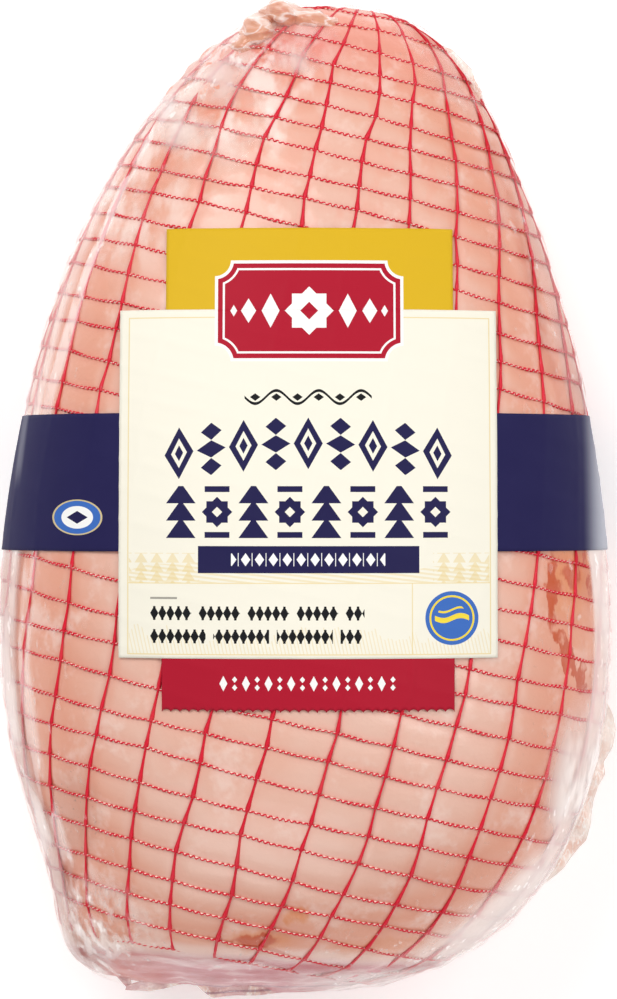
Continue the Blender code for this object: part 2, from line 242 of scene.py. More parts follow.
class HamColours(bpy.types.PropertyGroup):
    rind: colour("Rind", "Pale cooked rind", 0.795, 0.500, 0.400)
    # The flush colour is also laid on the ham's sides as painted shade
    flush: colour("Flush", "Warmer patches of the rind", 0.745, 0.310, 0.200)
    fat: colour("Fat", "White fat", 0.92, 0.76, 0.69)
    lean: colour("Lean", "Lean meat at the butt", 0.54, 0.125, 0.145)
    stain: colour("Stain", "Browned juices", 0.54, 0.066, 0.001)
    yarn: colour("Net", "Red yarn", 0.68, 0.003, 0.022)
    core: colour("Elastic", "Elastic core of the hoops", 0.98, 0.76, 0.66)
    # The film colour also carries the painted reflections and glow on the film's turned sides
    film: colour("Film", "Where the film is cloudy or folded", 0.84, 0.745, 0.695)
    navy: colour("Navy", "Band and motifs", 0.018, 0.0155, 0.071)
    cream: colour("Cream", "Panel", 0.875, 0.835, 0.715)
    yellow: colour("Yellow", "Upper tab", 0.69, 0.432, 0.018)
    red: colour("Red", "Lower tab and plaque", 0.42, 0.011, 0.030)
    gold: colour("Gold", "Fine lines", 0.78, 0.60, 0.24)
    blue: colour("Blue", "Roundels", 0.05, 0.15, 0.49)
    white: colour("White", "White print", 0.90, 0.89, 0.87)
    ink: colour("Ink", "Black print", 0.012, 0.012, 0.014)


class StageSettings(bpy.types.PropertyGroup):
    distance: span("Camera distance", "From the ham's widest height to the camera", 1.4)
    frame_height: span("Frame height", "What the camera sees from top to bottom", 0.3016)
    key: power("Key light", 10.6)
    fill: power("Fill light", 7.2)
    front: power("Front light", 3.0)
    floor: colour("Floor", "Plain pale floor", 0.97, 0.97, 0.97)


def smoothstep(value, start, end):
    share = np.clip((value - start) / (end - start), 0.0, 1.0)
    return share * share * (3.0 - 2.0 * share)


def unit(vectors):
    return vectors / np.maximum(np.linalg.norm(vectors, axis=-1, keepdims=True), 1e-12)


def taper(along, near, power, far):
    """1 at the fullest place and 0 at both ends, for a way along from 0 to 1."""
    along = np.clip(along, 1e-6, 1.0 - 1e-6)
    fullest = (near / (near + far * power)) ** (1.0 / power)

    def shape(way):
        return way**near * (1.0 - way**power) ** far

    return shape(along) / shape(fullest)


class Form:
    """The ham's smooth surface."""

    def __init__(self, sizes, label):
        self.sizes = sizes
        self.band_middle = (label.band_low + label.band_high) / 2.0

    def half_widths(self, along):
        corner = (along - BUTT_CORNER["at"]) / BUTT_CORNER["spread"]
        left = self.sizes.left * taper(along, **LEFT_TAPER)
        left = left + BUTT_CORNER["reach"] * np.exp(-corner * corner) * (along < 1.0)
        return left, self.sizes.right * taper(along, **RIGHT_TAPER)

    def level(self, points):
        """Below 1 inside the ham and above 1 outside it."""
        sizes = self.sizes
        x, y, z = points[..., 0], points[..., 1], points[..., 2]
        plain = (sizes.tip - y) / sizes.length
        lean = BUTT_LEAN * np.abs(z - sizes.equator) / sizes.length
        along = plain + lean * smoothstep(plain, BUTT_LEAN_FROM, 1.0)
        left, right = self.half_widths(along)
        across = x - sizes.middle
        width = np.where(across < 0.0, left, right)
        up = (sizes.height - sizes.equator) * taper(along, **HEIGHT_TAPER)
        down = (sizes.equator + UNDERSIDE_SAG) * taper(along, **DEPTH_TAPER)
        rise = z - sizes.equator
        upward = np.abs(rise / up) ** CROWN_POWER
        downward = np.abs(rise / down) ** UNDERSIDE_POWER
        value = np.abs(across / width) ** SECTION_WIDTH_POWER
        value = value + np.where(rise > 0.0, upward, downward)
        broad = np.sin(x / LUMP_X + 1.3) * np.sin(y / LUMP_Y + 0.4)
        cross = np.sin((x + y) / (1.3 * LUMP_Y) + z / LUMP_X)
        value = value + LUMP_SHARE * (broad + 0.6 * cross)
        away = np.abs(y - self.band_middle)
        ramp_end = BAND_RECESS_FLAT + BAND_RECESS_RAMP
        floor = BAND_RECESS * (1.0 - smoothstep(away, BAND_RECESS_FLAT, ramp_end))
        outside = (along <= 0.0) | (along >= 1.0) | (z < floor)
        return np.where(outside, 9.0, value)

    def cast(self, origin, directions):
        """Surface points met by rays from a point inside the ham."""
        near = np.zeros(len(directions))
        far = np.full(len(directions), RAY_REACH)
        for _ in range(BISECTIONS):
            middle = (near + far) / 2.0
            inside = self.level(origin + middle[:, None] * directions) < 1.0
            near = np.where(inside, middle, near)
            far = np.where(inside, far, middle)
        return origin + near[:, None] * directions

    def above(self, plan):
        """Surface points straight above places in the plan."""
        low = np.full(len(plan), self.sizes.equator)
        high = np.full(len(plan), self.sizes.height * 1.2)
        for _ in range(BISECTIONS):
            middle = (low + high) / 2.0
            inside = self.level(np.column_stack([plan, middle])) < 1.0
            low = np.where(inside, middle, low)
            high = np.where(inside, high, middle)
        return np.column_stack([plan, low])

    def section(self, origin, across):
        """Closed outline in the upright plane through origin along across."""
        angles = np.linspace(0.0, 2.0 * math.pi, RAY_COUNT, endpoint=False)
        upright = np.array([0.0, 0.0, 1.0])
        directions = np.cos(angles)[:, None] * across + np.sin(angles)[:, None] * upright
        reach = np.linspace(-SCAN_REACH, SCAN_REACH, SCAN_COUNT)
        inside = reach[self.level(origin + reach[:, None] * across) < 1.0]
        middle = origin + (inside[0] + inside[-1]) / 2.0 * across
        return self.cast(middle, directions)

    def normals(self, points):
        slopes = []
        for axis in range(3):
            shift = np.zeros(3)
            shift[axis] = SLOPE_STEP
            slopes.append(self.level(points + shift) - self.level(points - shift))
        return unit(np.stack(slopes, axis=-1))


def lengths_along(line):
    """How far along a line each of its points is."""
    steps = np.linalg.norm(np.diff(line, axis=0), axis=1)
    return np.concatenate([[0.0], np.cumsum(steps)])


def arc_lengths(outline):
    """An outline closed on itself, and how far round it each point is."""
    closed = np.vstack([outline, outline[:1]])
    return closed, lengths_along(closed)


def points_at(outline, distances):
    closed, lengths = arc_lengths(outline)
    wrapped = np.mod(distances, lengths[-1])
    return np.stack([np.interp(wrapped, lengths, closed[:, axis]) for axis in range(3)], axis=1)


class Skin:
    """The ham's surface as a grid: rows along the net, points round it."""

    def __init__(self, form, net):
        self.form = form
        self.net = net
        self.axis = np.array([math.sin(net.tilt), math.cos(net.tilt), 0.0])
        self.across = np.array([math.cos(net.tilt), -math.sin(net.tilt), 0.0])
        self.columns = net.columns * POINTS_PER_COLUMN
        self.centre = np.array([0.0, 0.0, form.sizes.equator])
        turns, stations = self.measure_crown()
        self.hoops = int(turns[-1])
        shares = np.arange(self.columns) / self.columns - 0.5
        self.widest = arc_lengths(form.section(self.centre, self.across))[1][-1]
        steps = np.arange(self.hoops * ROWS_PER_HOOP + 1) / ROWS_PER_HOOP
        rings = [self.ring(np.interp(step, turns, stations), shares) for step in steps]
        shank = self.cap(rings[0], self.axis, SHANK_ROWS)
        butt = self.cap(rings[-1], -self.axis, BUTT_ROWS)
        self.points = np.array(shank[::-1] + rings + butt)
        self.first_row = SHANK_ROWS
        self.last_row = SHANK_ROWS + len(rings) - 1
        self.rows = len(self.points)
        self.normals = self.find_normals()
        self.knots = self.find_knots()

    def measure_crown(self):
        form, net = self.form, self.net
        along = np.linspace(0.0005, 0.9995, 2000)
        left, right = form.half_widths(along)
        y = form.sizes.tip - form.sizes.length * along
        left_edge = (form.sizes.middle - left) * self.axis[0] + y * self.axis[1]
        right_edge = (form.sizes.middle + right) * self.axis[0] + y * self.axis[1]
        reach = np.concatenate([left_edge, right_edge])
        start, end = reach.max() - NET_START, reach.min() + NET_BUTT_MARGIN
        stations = np.arange(start, end, -CROWN_STEP)
        up = np.array([[0.0, 0.0, 1.0]])
        crown = [form.cast(self.centre + station * self.axis, up)[0] for station in stations]
        steps = np.linalg.norm(np.diff(crown, axis=0), axis=1)
        pitch = 1.0 - NET_PITCH_DROP * smoothstep(stations, NET_DROP_FROM, NET_DROP_TO)
        low, high = NET_LABEL_STATIONS
        covered = smoothstep(stations, low - NET_LABEL_RAMP, low + NET_LABEL_RAMP)
        open_end = smoothstep(stations, high - NET_LABEL_RAMP, high + NET_LABEL_RAMP)
        pitch = pitch * (1.0 - NET_LABEL_SHRINK * covered * (1.0 - open_end))
        turns = np.concatenate([[0.0], np.cumsum(steps / (net.pitch * pitch[:-1]))])
        return turns, stations

    def ring(self, station, shares):
        outline = self.form.section(self.centre + station * self.axis, self.across)
        closed, lengths = arc_lengths(outline)
        perimeter = lengths[-1]
        across = closed @ self.across
        upper = closed[:, 2] > self.form.sizes.equator
        crossing = np.where((across[:-1] >= 0.0) & (across[1:] < 0.0) & upper[:-1])[0]
        start = perimeter / 4.0
        if len(crossing):
            before, after = across[crossing[0]], across[crossing[0] + 1]
            step = lengths[crossing[0] + 1] - lengths[crossing[0]]
            start = lengths[crossing[0]] + step * before / (before - after)
        gather = NET_GATHER * (1.0 - perimeter / self.widest)
        spread = shares + gather * np.sin(2.0 * math.pi * shares) / (2.0 * math.pi)
        shift = NET_OFFSET + NET_DRIFT * station
        shift = shift + NET_BUTT_DRIFT * min(station - NET_BUTT_DRIFT_FROM, 0.0)
        return points_at(outline, start - shift - spread * perimeter)

    def cap(self, ring, onward, count):
        """Rows that close the ham beyond an end hoop. The last one is its pole."""
        inside = ring.mean(axis=0) - CAP_SETBACK * onward
        spokes = unit(ring - inside)
        shares = np.arange(1, count + 1) / count
        return [self.form.cast(inside, unit((1.0 - s) * spokes + s * onward)) for s in shares]

    def find_normals(self):
        round_way = np.roll(self.points, -1, axis=1) - np.roll(self.points, 1, axis=1)
        length_way = np.gradient(self.points, axis=0)
        normals = unit(np.cross(length_way, round_way))
        normals[0], normals[-1] = self.axis, -self.axis
        outward = self.points - np.array([0.0, 0.0, self.form.sizes.equator])
        flipped = np.sum(normals * outward, axis=-1, keepdims=True) < 0.0
        normals = np.where(flipped, -normals, normals)
        normals[0], normals[-1] = self.axis, -self.axis
        return normals

    def blend(self, grid, column, row):
        """Reads a grid between its points. Columns wrap round."""
        row = np.clip(row, 0.0, self.rows - 1.0)
        upper = np.minimum(row.astype(int), self.rows - 2)
        down = (row - upper)[..., None]
        left = np.floor(column).astype(int)
        over = (column - left)[..., None]
        left, right = left % self.columns, (left + 1) % self.columns
        top = grid[upper, left] * (1.0 - over) + grid[upper, right] * over
        bottom = grid[upper + 1, left] * (1.0 - over) + grid[upper + 1, right] * over
        return top * (1.0 - down) + bottom * down

    def at(self, column, hoop, lift=0.0, wander=True):
        """Points at net columns and hoops, with the net's own unevenness."""
        column, hoop = np.broadcast_arrays(np.asarray(column, float), np.asarray(hoop, float))
        if wander:
            column, hoop = self.wander(column, hoop)
        grid_column = (column + self.net.columns / 2.0) * POINTS_PER_COLUMN
        grid_row = hoop * ROWS_PER_HOOP + self.first_row
        point = self.blend(self.points, grid_column, grid_row)
        normal = unit(self.blend(self.normals, grid_column, grid_row))
        return point + normal * np.asarray(lift)[..., None], normal

    def find_knots(self):
        """How far each knot of the net is from its even place, in columns and in hoops."""
        chance = np.random.default_rng(KNOT_SEED)
        hoop = np.arange(-SHANK_HOOPS - 1, self.hoops + 8)
        phases = chance.uniform(0.0, 2.0 * math.pi, (3, self.net.columns, 1))
        loose = 1.0 + 2.2 * np.exp(-np.maximum(hoop + 2.0, 0.0) / 3.5)
        sway = 0.040 * np.sin(0.42 * hoop + phases[0]) + 0.022 * np.sin(1.1 * hoop + phases[1])
        turn = 2.0 * math.pi * np.arange(self.net.columns)[:, None] / self.net.columns
        lift = 0.050 * np.sin(2.0 * turn + 2.4 * hoop) + 0.035 * np.sin(5.0 * turn + 1.7 * hoop)
        jitter = chance.normal(0.0, KNOT_JITTER, (2, self.net.columns, len(hoop)))
        return np.stack([(sway + jitter[0]) * loose, lift * loose**0.5 + jitter[1]], axis=-1)

    def wander(self, column, hoop):
        """Adds the net's unevenness, so that strands run straight from knot to knot."""
        row = np.clip(hoop + SHANK_HOOPS + 1.0, 0.0, self.knots.shape[1] - 1.001)
        upper, left = np.floor(row).astype(int), np.floor(column).astype(int)
        down, over = (row - upper)[..., None], (column - left)[..., None]
        left, right = left % self.net.columns, (left + 1) % self.net.columns
        knots = self.knots
        top = knots[left, upper] * (1.0 - over) + knots[right, upper] * over
        bottom = knots[left, upper + 1] * (1.0 - over) + knots[right, upper + 1] * over
        shift = top * (1.0 - down) + bottom * down
        sag = STRAND_SAG * np.sin(math.pi * column) ** 2
        return column + shift[..., 0], hoop + shift[..., 1] + sag


def layout():
    """The form, and the grid laid over it, from the scene's settings."""
    scene = bpy.context.scene
    form = Form(scene.ham_sizes, scene.ham_label)
    return form, Skin(form, scene.ham_net)


def rough(points, size, offset=0.0, octaves=3):
    """Smooth unevenness between about -1 and 1, with features of the given size."""
    shift = Vector((offset, 2.0 * offset, -offset))
    return np.array([
        noise.fractal(Vector(point / size) + shift, 1.0, 2.0, octaves) for point in points
    ])


def places(bm):
    return np.array([vert.co for vert in bm.verts], dtype=float)


def move(bm, points):
    for vert, point in zip(bm.verts, points):
        vert.co = point


def to_mesh(bm, name):
    mesh = bpy.data.meshes.new(name)
    bm.to_mesh(mesh)
    bm.free()
    return mesh


def add_object(name, data):
    thing = bpy.data.objects.new(name, data)
    bpy.context.scene.collection.objects.link(thing)
    return thing


def settle(thing):
    """The mesh that a curve or a modifier makes. Its object is removed."""
    graph = bpy.context.evaluated_depsgraph_get()
    mesh = bpy.data.meshes.new_from_object(thing.evaluated_get(graph))
    bpy.data.objects.remove(thing)
    return mesh


def keep(bm, name, finish, slot, *replaced):
    """Turns a bmesh into a finished piece that rides with the ham."""
    return keep_mesh(to_mesh(bm, name), name, finish, slot, *replaced)


def keep_mesh(mesh, name, finish, slot, *replaced):
    mesh.shade_smooth()
    mesh.materials.clear()
    mesh.materials.append(finish)
    piece = add_object(name, mesh)
    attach(piece, "root")
    if replaced:
        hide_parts(*replaced)
    return piece


def wrap(skin, place):
    """A closed bmesh over the whole ham. place gives a point for each grid column and row."""
    bm = bmesh.new()
    rows = skin.rows - 1
    bmesh.ops.create_uvsphere(bm, u_segments=skin.columns, v_segments=rows, radius=1.0)
    ways = places(bm)
    row = np.rint(np.arccos(np.clip(ways[:, 2], -1.0, 1.0)) / math.pi * rows)
    turn = np.arctan2(ways[:, 1], ways[:, 0]) / (2.0 * math.pi)
    column = np.rint(turn * skin.columns)
    move(bm, place(column / POINTS_PER_COLUMN, (row - skin.first_row) / ROWS_PER_HOOP))
    bmesh.ops.recalc_face_normals(bm, faces=bm.faces)
    return bm


def tubes(name, lines, thickness):
    """A mesh of tubes. Each line is its points, their relative radii and whether it is a ring."""
    curve = bpy.data.curves.new(name, "CURVE")
    curve.dimensions = "3D"
    curve.bevel_depth = thickness
    curve.bevel_resolution = 0
    curve.use_fill_caps = True
    for points, radii, ring in lines:
        spline = curve.splines.new("POLY")
        spline.points.add(len(points) - 1)
        fourth = np.ones((len(points), 1))
        spline.points.foreach_set("co", np.hstack([points, fourth]).astype("f").ravel())
        spline.points.foreach_set("radius", np.asarray(radii, "f"))
        spline.use_cyclic_u = ring
    mesh = settle(add_object(name, curve))
    bpy.data.curves.remove(curve)
    return mesh


class Shade:
    """A socket of a finish. Arithmetic on it adds Math nodes."""

    def __init__(self, finish, socket):
        self.finish = finish
        self.socket = socket

    def math(self, operation, *values):
        return self.finish.add("ShaderNodeMath", {"operation": operation}, *values)

    def __rsub__(self, other):
        return self.math("SUBTRACT", other, self)


def sum_of(operation):
    def work(shade, *others):
        return shade.math(operation, shade, *others)

    return work


for way, operation in {
    "__add__": "ADD",
    "__radd__": "ADD",
    "__sub__": "SUBTRACT",
    "__mul__": "MULTIPLY",
    "__rmul__": "MULTIPLY",
    "__truediv__": "DIVIDE",
    "__pow__": "POWER",
    "__lt__": "LESS_THAN",
    "__gt__": "GREATER_THAN",
    "__abs__": "ABSOLUTE",
    "__or__": "MAXIMUM",
    "__and__": "MINIMUM",
    "sine": "SINE",
    "floor": "FLOOR",
    "modulo": "MODULO",
}.items():
    setattr(Shade, way, sum_of(operation))


def socket_name(key):
    return key.replace("_", " ").title().replace("Ior", "IOR")


class Finish:
    """A material being made round its Principled shader."""

    def __init__(self, name, roughness=0.5, **constants):
        self.material = bpy.data.materials.new(name)
        self.material.use_nodes = True
        self.nodes = self.material.node_tree.nodes
        self.links = self.material.node_tree.links
        self.shader = self.nodes["Principled BSDF"]
        self.shader.inputs["Roughness"].default_value = roughness
        for key, value in constants.items():
            self.shader.inputs[socket_name(key)].default_value = value
        self.place = self.add("ShaderNodeTexCoord", output="Object")

    def feed(self, socket, value):
        if isinstance(value, Shade):
            self.links.new(value.socket, socket)
        elif socket.type == "RGBA" and len(value) == 3:
            socket.default_value = (*value, 1.0)
        else:
            socket.default_value = value

    def add(self, kind, settings=None, *values, output=0, **named):
        """Adds a node with its settings and the values or links of its sockets."""
        node = self.nodes.new(kind)
        for key, value in (settings or {}).items():
            setattr(node, key, value)
        for socket, value in zip(node.inputs, values):
            self.feed(socket, value)
        for key, value in named.items():
            self.feed(node.inputs[socket_name(key)], value)
        return Shade(self, node.outputs[output])

    def split(self, vector):
        node = self.nodes.new("ShaderNodeSeparateXYZ")
        self.links.new(vector.socket, node.inputs[0])
        return [Shade(self, output) for output in node.outputs]

    def axes(self, scale=1000.0):
        """The place on the ham along X, Y and Z, in millimetres."""
        return [part * scale for part in self.split(self.place)]

    def facing(self):
        """How far the surface faces along X, Y and Z."""
        return self.split(self.add("ShaderNodeNewGeometry", output="Normal"))

    def noise(self, size, detail=3.0, stretch=(1.0, 1.0, 1.0), shift=0.0):
        """Unevenness from 0 to 1 with features about size metres across."""
        scale = tuple(value / size for value in stretch)
        settings = {"operation": "MULTIPLY_ADD"}
        moved = self.add("ShaderNodeVectorMath", settings, self.place, scale, (shift,) * 3)
        return self.add("ShaderNodeTexNoise", None, Vector=moved, Scale=1.0, Detail=detail)

    def ramp(self, value, start, end):
        """0 below start and 1 above end, with soft ends."""
        settings = {"interpolation_type": "SMOOTHSTEP"}
        return self.add("ShaderNodeMapRange", settings, value, start, end, 0.0, 1.0)

    def lay(self, share, colour):
        """Lays a colour over the tone so far."""
        self.tone = self.mix(share, self.tone, colour)

    def mix(self, share, one, two):
        node = self.nodes.new("ShaderNodeMix")
        node.data_type = "RGBA"
        for index, value in ((0, share), (6, one), (7, two)):
            self.feed(node.inputs[index], value)
        return Shade(self, node.outputs[2])

    def attribute(self, name):
        return self.add("ShaderNodeAttribute", {"attribute_name": name}, output="Fac")

    def spot(self, x, y, centre, radii):
        """1 at a place in the plan and fading to 0 at its rim."""
        across = (x - centre[0]) / radii[0]
        along = (y - centre[1]) / radii[1]
        return self.ramp(across * across + along * along, 1.0, 0.0)

    def bump(self, height, strength, distance, normal=None):
        sockets = {"Strength": strength, "Distance": distance, "Height": height}
        if normal:
            sockets["Normal"] = normal
        node = self.nodes.new("ShaderNodeBump")
        for key, value in sockets.items():
            self.feed(node.inputs[key], value)
        return Shade(self, node.outputs[0])

    def paint(self, **sockets):
        """Links the tone, and what else varies, to the shader."""
        for key, value in {"base_color": self.tone, **sockets}.items():
            self.feed(self.shader.inputs[socket_name(key)], value)
        return self.material


def juices(finish, x, y, drip):
    """Browned juices: how far the paler and the darker ones cover a place."""
    x = x + (drip - 0.5) * 9.0
    y = y + (drip - 0.5) * 6.0
    ramp, spot = finish.ramp, partial(finish.spot, x, y)
    across, along = x - 77.3, y + 47.3
    down = (across * 0.48 - along * 0.88) / 12.5
    aside = (across * 0.88 + along * 0.48) / 2.6
    run = ramp(down * down + aside * aside, 1.0, 0.4)
    streak = spot((71.6, -27.0), (2.4, 15.0)) | spot((83.4, -20.5), (2.4, 11.0))
    dark = streak | run | spot((77.2, -22.5), (3.6, 5.4))
    dark = ramp(dark, 0.04, 0.80)
    low = spot((-15.4, -129.0), (8.0, 2.8))
    pale = spot((77.5, -22.0), (8.5, 17.0)) | spot((79.0, -36.0), (8.0, 27.0)) * 0.36
    pale = pale | spot((-3.2, -121.0), (4.2, 4.0))
    pale = pale | spot((-14.0, -129.0), (13.0, 4.6)) * 0.8
    pale = pale | spot((24.0, -131.5), (22.0, 4.0)) * 0.45
    return pale, dark * ramp(drip, 0.27, 0.46) | ramp(low, 0.0, 0.8)


def meat_finish(colours):
    """Cooked rind with paler fat, warm patches, lean butt meat and browned juices, and painted
    shade on its sides.
    """
    finish = Finish(
        "cooked_ham",
        roughness=0.38,
        coat_weight=0.40,
        coat_roughness=0.14,
    )
    x, y, _ = finish.axes()
    ramp, spot = finish.ramp, partial(finish.spot, x, y)
    broad = finish.noise(0.060, 2.0)
    mottle = finish.noise(0.014, 3.0, shift=3.0)
    fine = finish.noise(0.0022, 2.0, shift=7.0)
    strand = finish.attribute("near_net")

    upright = abs(finish.facing()[2])
    # Painted shade: the side mask darkens the rind towards the flush colour where the surface turns
    # away from upright
    side = ramp(upright, 0.97, 0.71)
    warm = ramp(broad + mottle * 0.5, 0.66, 0.98)
    finish.tone = finish.mix(warm * 0.32 | side * 0.9, colours.rind, colours.flush)
    upper = ramp(y, 40.0, 95.0)
    finish.lay(upper * 0.24, colours.flush)
    finish.lay(ramp(y, 112.0, 138.0) * 0.55, (0.78, 0.27, 0.21))
    finish.lay(spot((-6.0, 136.0), (20.0, 10.0)) * 0.5, (0.76, 0.17, 0.17))
    pale = ramp(mottle + fine * 0.3, 0.66, 0.92)
    finish.lay(pale * 0.40, colours.fat)

    marble = finish.noise(0.012, 3.0, stretch=(1.6, 0.7, 1.0), shift=11.0)
    shank = spot((-24.0, 126.0), (40.0, 34.0))
    blot = spot((-52.0, 96.0), (26.0, 36.0)) * 0.8
    haze = (shank | blot) * ramp(marble, 0.42, 0.62)
    finish.lay(haze * 0.85, colours.fat)
    rosy = (shank | upper * 0.5) * ramp(marble, 0.50, 0.36)
    finish.lay(rosy * 0.5, (0.80, 0.30, 0.20))

    ragged = finish.noise(0.030, 3.0, shift=5.0) * 16.0 - 8.0
    butt_line = y + 135.2 + 0.05 * x + ragged * 0.30
    lean = ramp(butt_line, 0.8, -1.6)
    grain = finish.noise(0.0070, 4.0, stretch=(0.45, 2.2, 1.4), shift=23.0)
    meat = finish.mix(ramp(grain, 0.40, 0.60), colours.lean, (0.64, 0.25, 0.27))
    meat = finish.mix(ramp(grain, 0.58, 0.66) * 0.50, meat, (0.86, 0.62, 0.60))
    ruddy = ramp(x, -34.0, -54.0) * (0.55 + ramp(mottle, 0.60, 0.44) * 0.35)
    meat = finish.mix(ruddy, meat, (0.62, 0.14, 0.10))
    finish.lay(lean, meat)
    edge = ramp(butt_line, -2.8, -1.0) * ramp(butt_line, 4.6, 1.2)
    finish.lay(edge * 0.50, (0.90, 0.74, 0.67))

    drip = finish.noise(0.0060, 4.0, stretch=(1.7, 0.8, 1.0), shift=31.0)
    pale_juice, dark_juice = juices(finish, x, y, drip)
    finish.lay(pale_juice * 0.78, (0.70, 0.21, 0.045))
    finish.lay(dark_juice * 0.95, colours.stain)
    seam = ramp(abs(y + 145.9 - (ragged * 0.06)), 0.55, 0.10) * (abs(x + 11.0) < 23.0)
    finish.lay(seam * 0.70, (0.30, 0.08, 0.13))
    specks = ramp(finish.noise(0.0012, 1.0, shift=41.0), 0.66, 0.76)
    grey = spot((-69.0, -92.0), (11.0, 18.0))
    finish.lay(grey * (specks * 0.5 + 0.22), (0.30, 0.19, 0.15))
    finish.lay(strand * 0.16, (0.80, 0.22, 0.18))

    height = mottle * 0.6 + fine * 0.4
    normal = finish.bump(height, 0.30, 0.0012)
    gloss = 0.32 + fine * 0.22
    return finish.paint(roughness=gloss, normal=normal)


def yarn_finish(colours):
    """Red synthetic yarn."""
    finish = Finish("red_yarn", roughness=0.42, specular_ior_level=0.35)
    fibre = finish.noise(0.0007, 2.0)
    broad = finish.noise(0.018, 2.0, shift=9.0)
    finish.tone = finish.mix(fibre * 0.5, colours.yarn, (0.78, 0.016, 0.050))
    finish.lay(finish.ramp(broad, 0.52, 0.80) * 0.35, (0.84, 0.14, 0.14))
    normal = finish.bump(fibre, 0.4, 0.0002)
    return finish.paint(normal=normal)


def core_finish(colours):
    """Cream elastic that shows between the chain yarns."""
    finish = Finish("elastic_core", roughness=0.55)
    fibre = finish.noise(0.0009, 2.0, shift=2.0)
    finish.tone = finish.mix(fibre * 0.6, colours.core, (0.92, 0.70, 0.60))
    return finish.paint(normal=finish.bump(fibre, 0.3, 0.0002))


def film_finish(colours):
    """Clear film that shows as veils where it is cloudy or creased, with painted reflections where
    it turns edge-on, painted glints and a painted glow.
    """
    finish = Finish("clear_film", roughness=0.22, coat_weight=1.0, coat_roughness=0.06)
    # Painted glow: the film's veils give off their own tone as light
    finish.shader.inputs["Emission Strength"].default_value = FILM_GLOW
    x, y, z = finish.axes()
    ramp, spot = finish.ramp, partial(finish.spot, x, y)
    rightward, _, upright = finish.facing()
    leftward, upright = rightward * -1.0, abs(upright)
    streak = finish.noise(0.014, 3.0, stretch=(1.8, 0.40, 1.0), shift=13.0)
    slow = finish.noise(0.045, 1.0, stretch=(1.0, 0.8, 1.0), shift=3.0)
    cloud = finish.noise(0.016, 3.0, shift=17.0)
    crease = finish.noise(0.0045, 2.0, stretch=(1.5, 0.8, 1.2), shift=19.0)
    turned = upright + (slow - 0.5) * 0.20 + (streak - 0.5) * 0.08
    level = upright + (slow - 0.5) * 0.06
    left, right = ramp(leftward, 0.2, 0.5), ramp(leftward, -0.2, -0.5)
    lower = ramp(y, 30.0, -14.0)
    higher = ramp(y, 20.0, 34.0) * ramp(y, 112.0, 80.0) * 0.28
    cloudy = 0.56 + ramp(streak, 0.4, 0.6) * 0.14
    # Painted reflection: a whitish veil on the right side, where the film faces right and turns
    # edge-on
    veil = right * (lower | higher) * ramp(level, 0.51, 0.46) * cloudy
    # The stripe mask is a painted highlight: a white band down the left side at a set tilt of the
    # film, where a soft box would mirror
    painted_highlight_stripe = ramp(turned, 0.61, 0.57) * ramp(turned, 0.47, 0.51)
    painted_highlight_stripe = left * painted_highlight_stripe * ramp(streak, 0.36, 0.50)
    veil = veil | painted_highlight_stripe * (0.32 + ramp(y, 28.0, 50.0) * 0.12)
    # The steep mask is a painted reflection: a whitish veil where the left side turns edge-on
    painted_edge_reflection = left * ramp(level, 0.52, 0.40) * (1.0 - ramp(y, 30.0, 60.0) * 0.35)
    veil = veil | painted_edge_reflection * (0.40 + ramp(streak, 0.4, 0.62) * 0.34)
    # Painted reflection: a veil where the film turns edge-on near the butt end
    veil = veil | ramp(turned, 0.30, 0.12) * ramp(y, -135.0, -126.0) * 0.46
    # Cloudy film on the upper slopes, partly painted reflection: it shows only where the film
    # tilts, and more where it faces left
    upper = ramp(y, 52.0, 82.0) * ramp(turned, 0.84, 0.66)
    veil = veil | upper * ramp(cloud, 0.48, 0.62) * (left * 0.10 + 0.12)
    shank = spot((-35.0, 118.0), (26.0, 28.0)) * ramp(cloud, 0.34, 0.66) * 0.62
    shank = shank | spot((-2.4, 131.0), (9.5, 6.5)) * ramp(streak, 0.30, 0.56) * 0.50
    gathers = spot((-20.0, 132.0), (19.0, 8.0)) * ramp(crease, 0.40, 0.64)
    fog = ramp(y + (cloud - 0.5) * 8.0, -130.5, -135.0) * (0.03 + ramp(cloud, 0.46, 0.66) * 0.12)
    fog = fog | ramp(abs(y + 136.5 - (cloud - 0.5) * 7.0), 1.8, 0.4) * ramp(x, 4.0, -24.0) * 0.34
    corner = spot((-64.0, -126.0), (20.0, 18.0)) * ramp(crease + cloud * 0.4, 0.52, 0.88)
    web = spot((84.0, -94.0), (17.0, 42.0)) * (0.55 + ramp(streak, 0.40, 0.6) * 0.5)
    # The rim mask is a painted reflection: a veil where the right side turns edge-on towards the
    # butt
    rim = ramp(y, -96.0, -112.0) * right * ramp(level, 0.66, 0.46) * 0.72
    end = ramp(y, -137.0, -142.0) * ramp(x, -18.0, 18.0) * 0.56
    veil = veil | shank | gathers * 0.55 | fog | corner * 0.66 | web | rim | end
    # The glint mask paints highlights on the crease ridges where the film tilts
    painted_glint = ramp(crease, 0.64, 0.72) * ramp(upright, 0.92, 0.6) * 0.22
    # The whiter tone is painted highlight on the left-side band and the glints, and paler film on
    # the gathers
    finish.tone = finish.mix(painted_highlight_stripe | painted_glint * 3.0 | gathers * 0.6, colours.film, (0.96, 0.93, 0.91))
    normal = finish.bump(crease * 0.5 + streak * 0.5, 0.30, 0.0016)
    sunk = ramp(z + (cloud - 0.5) * 24.0, 34.0, 54.0)
    alpha = (veil * (0.12 + sunk * 0.88) + painted_glint) & 0.88
    return finish.paint(emission_color=finish.tone, alpha=alpha, normal=normal)


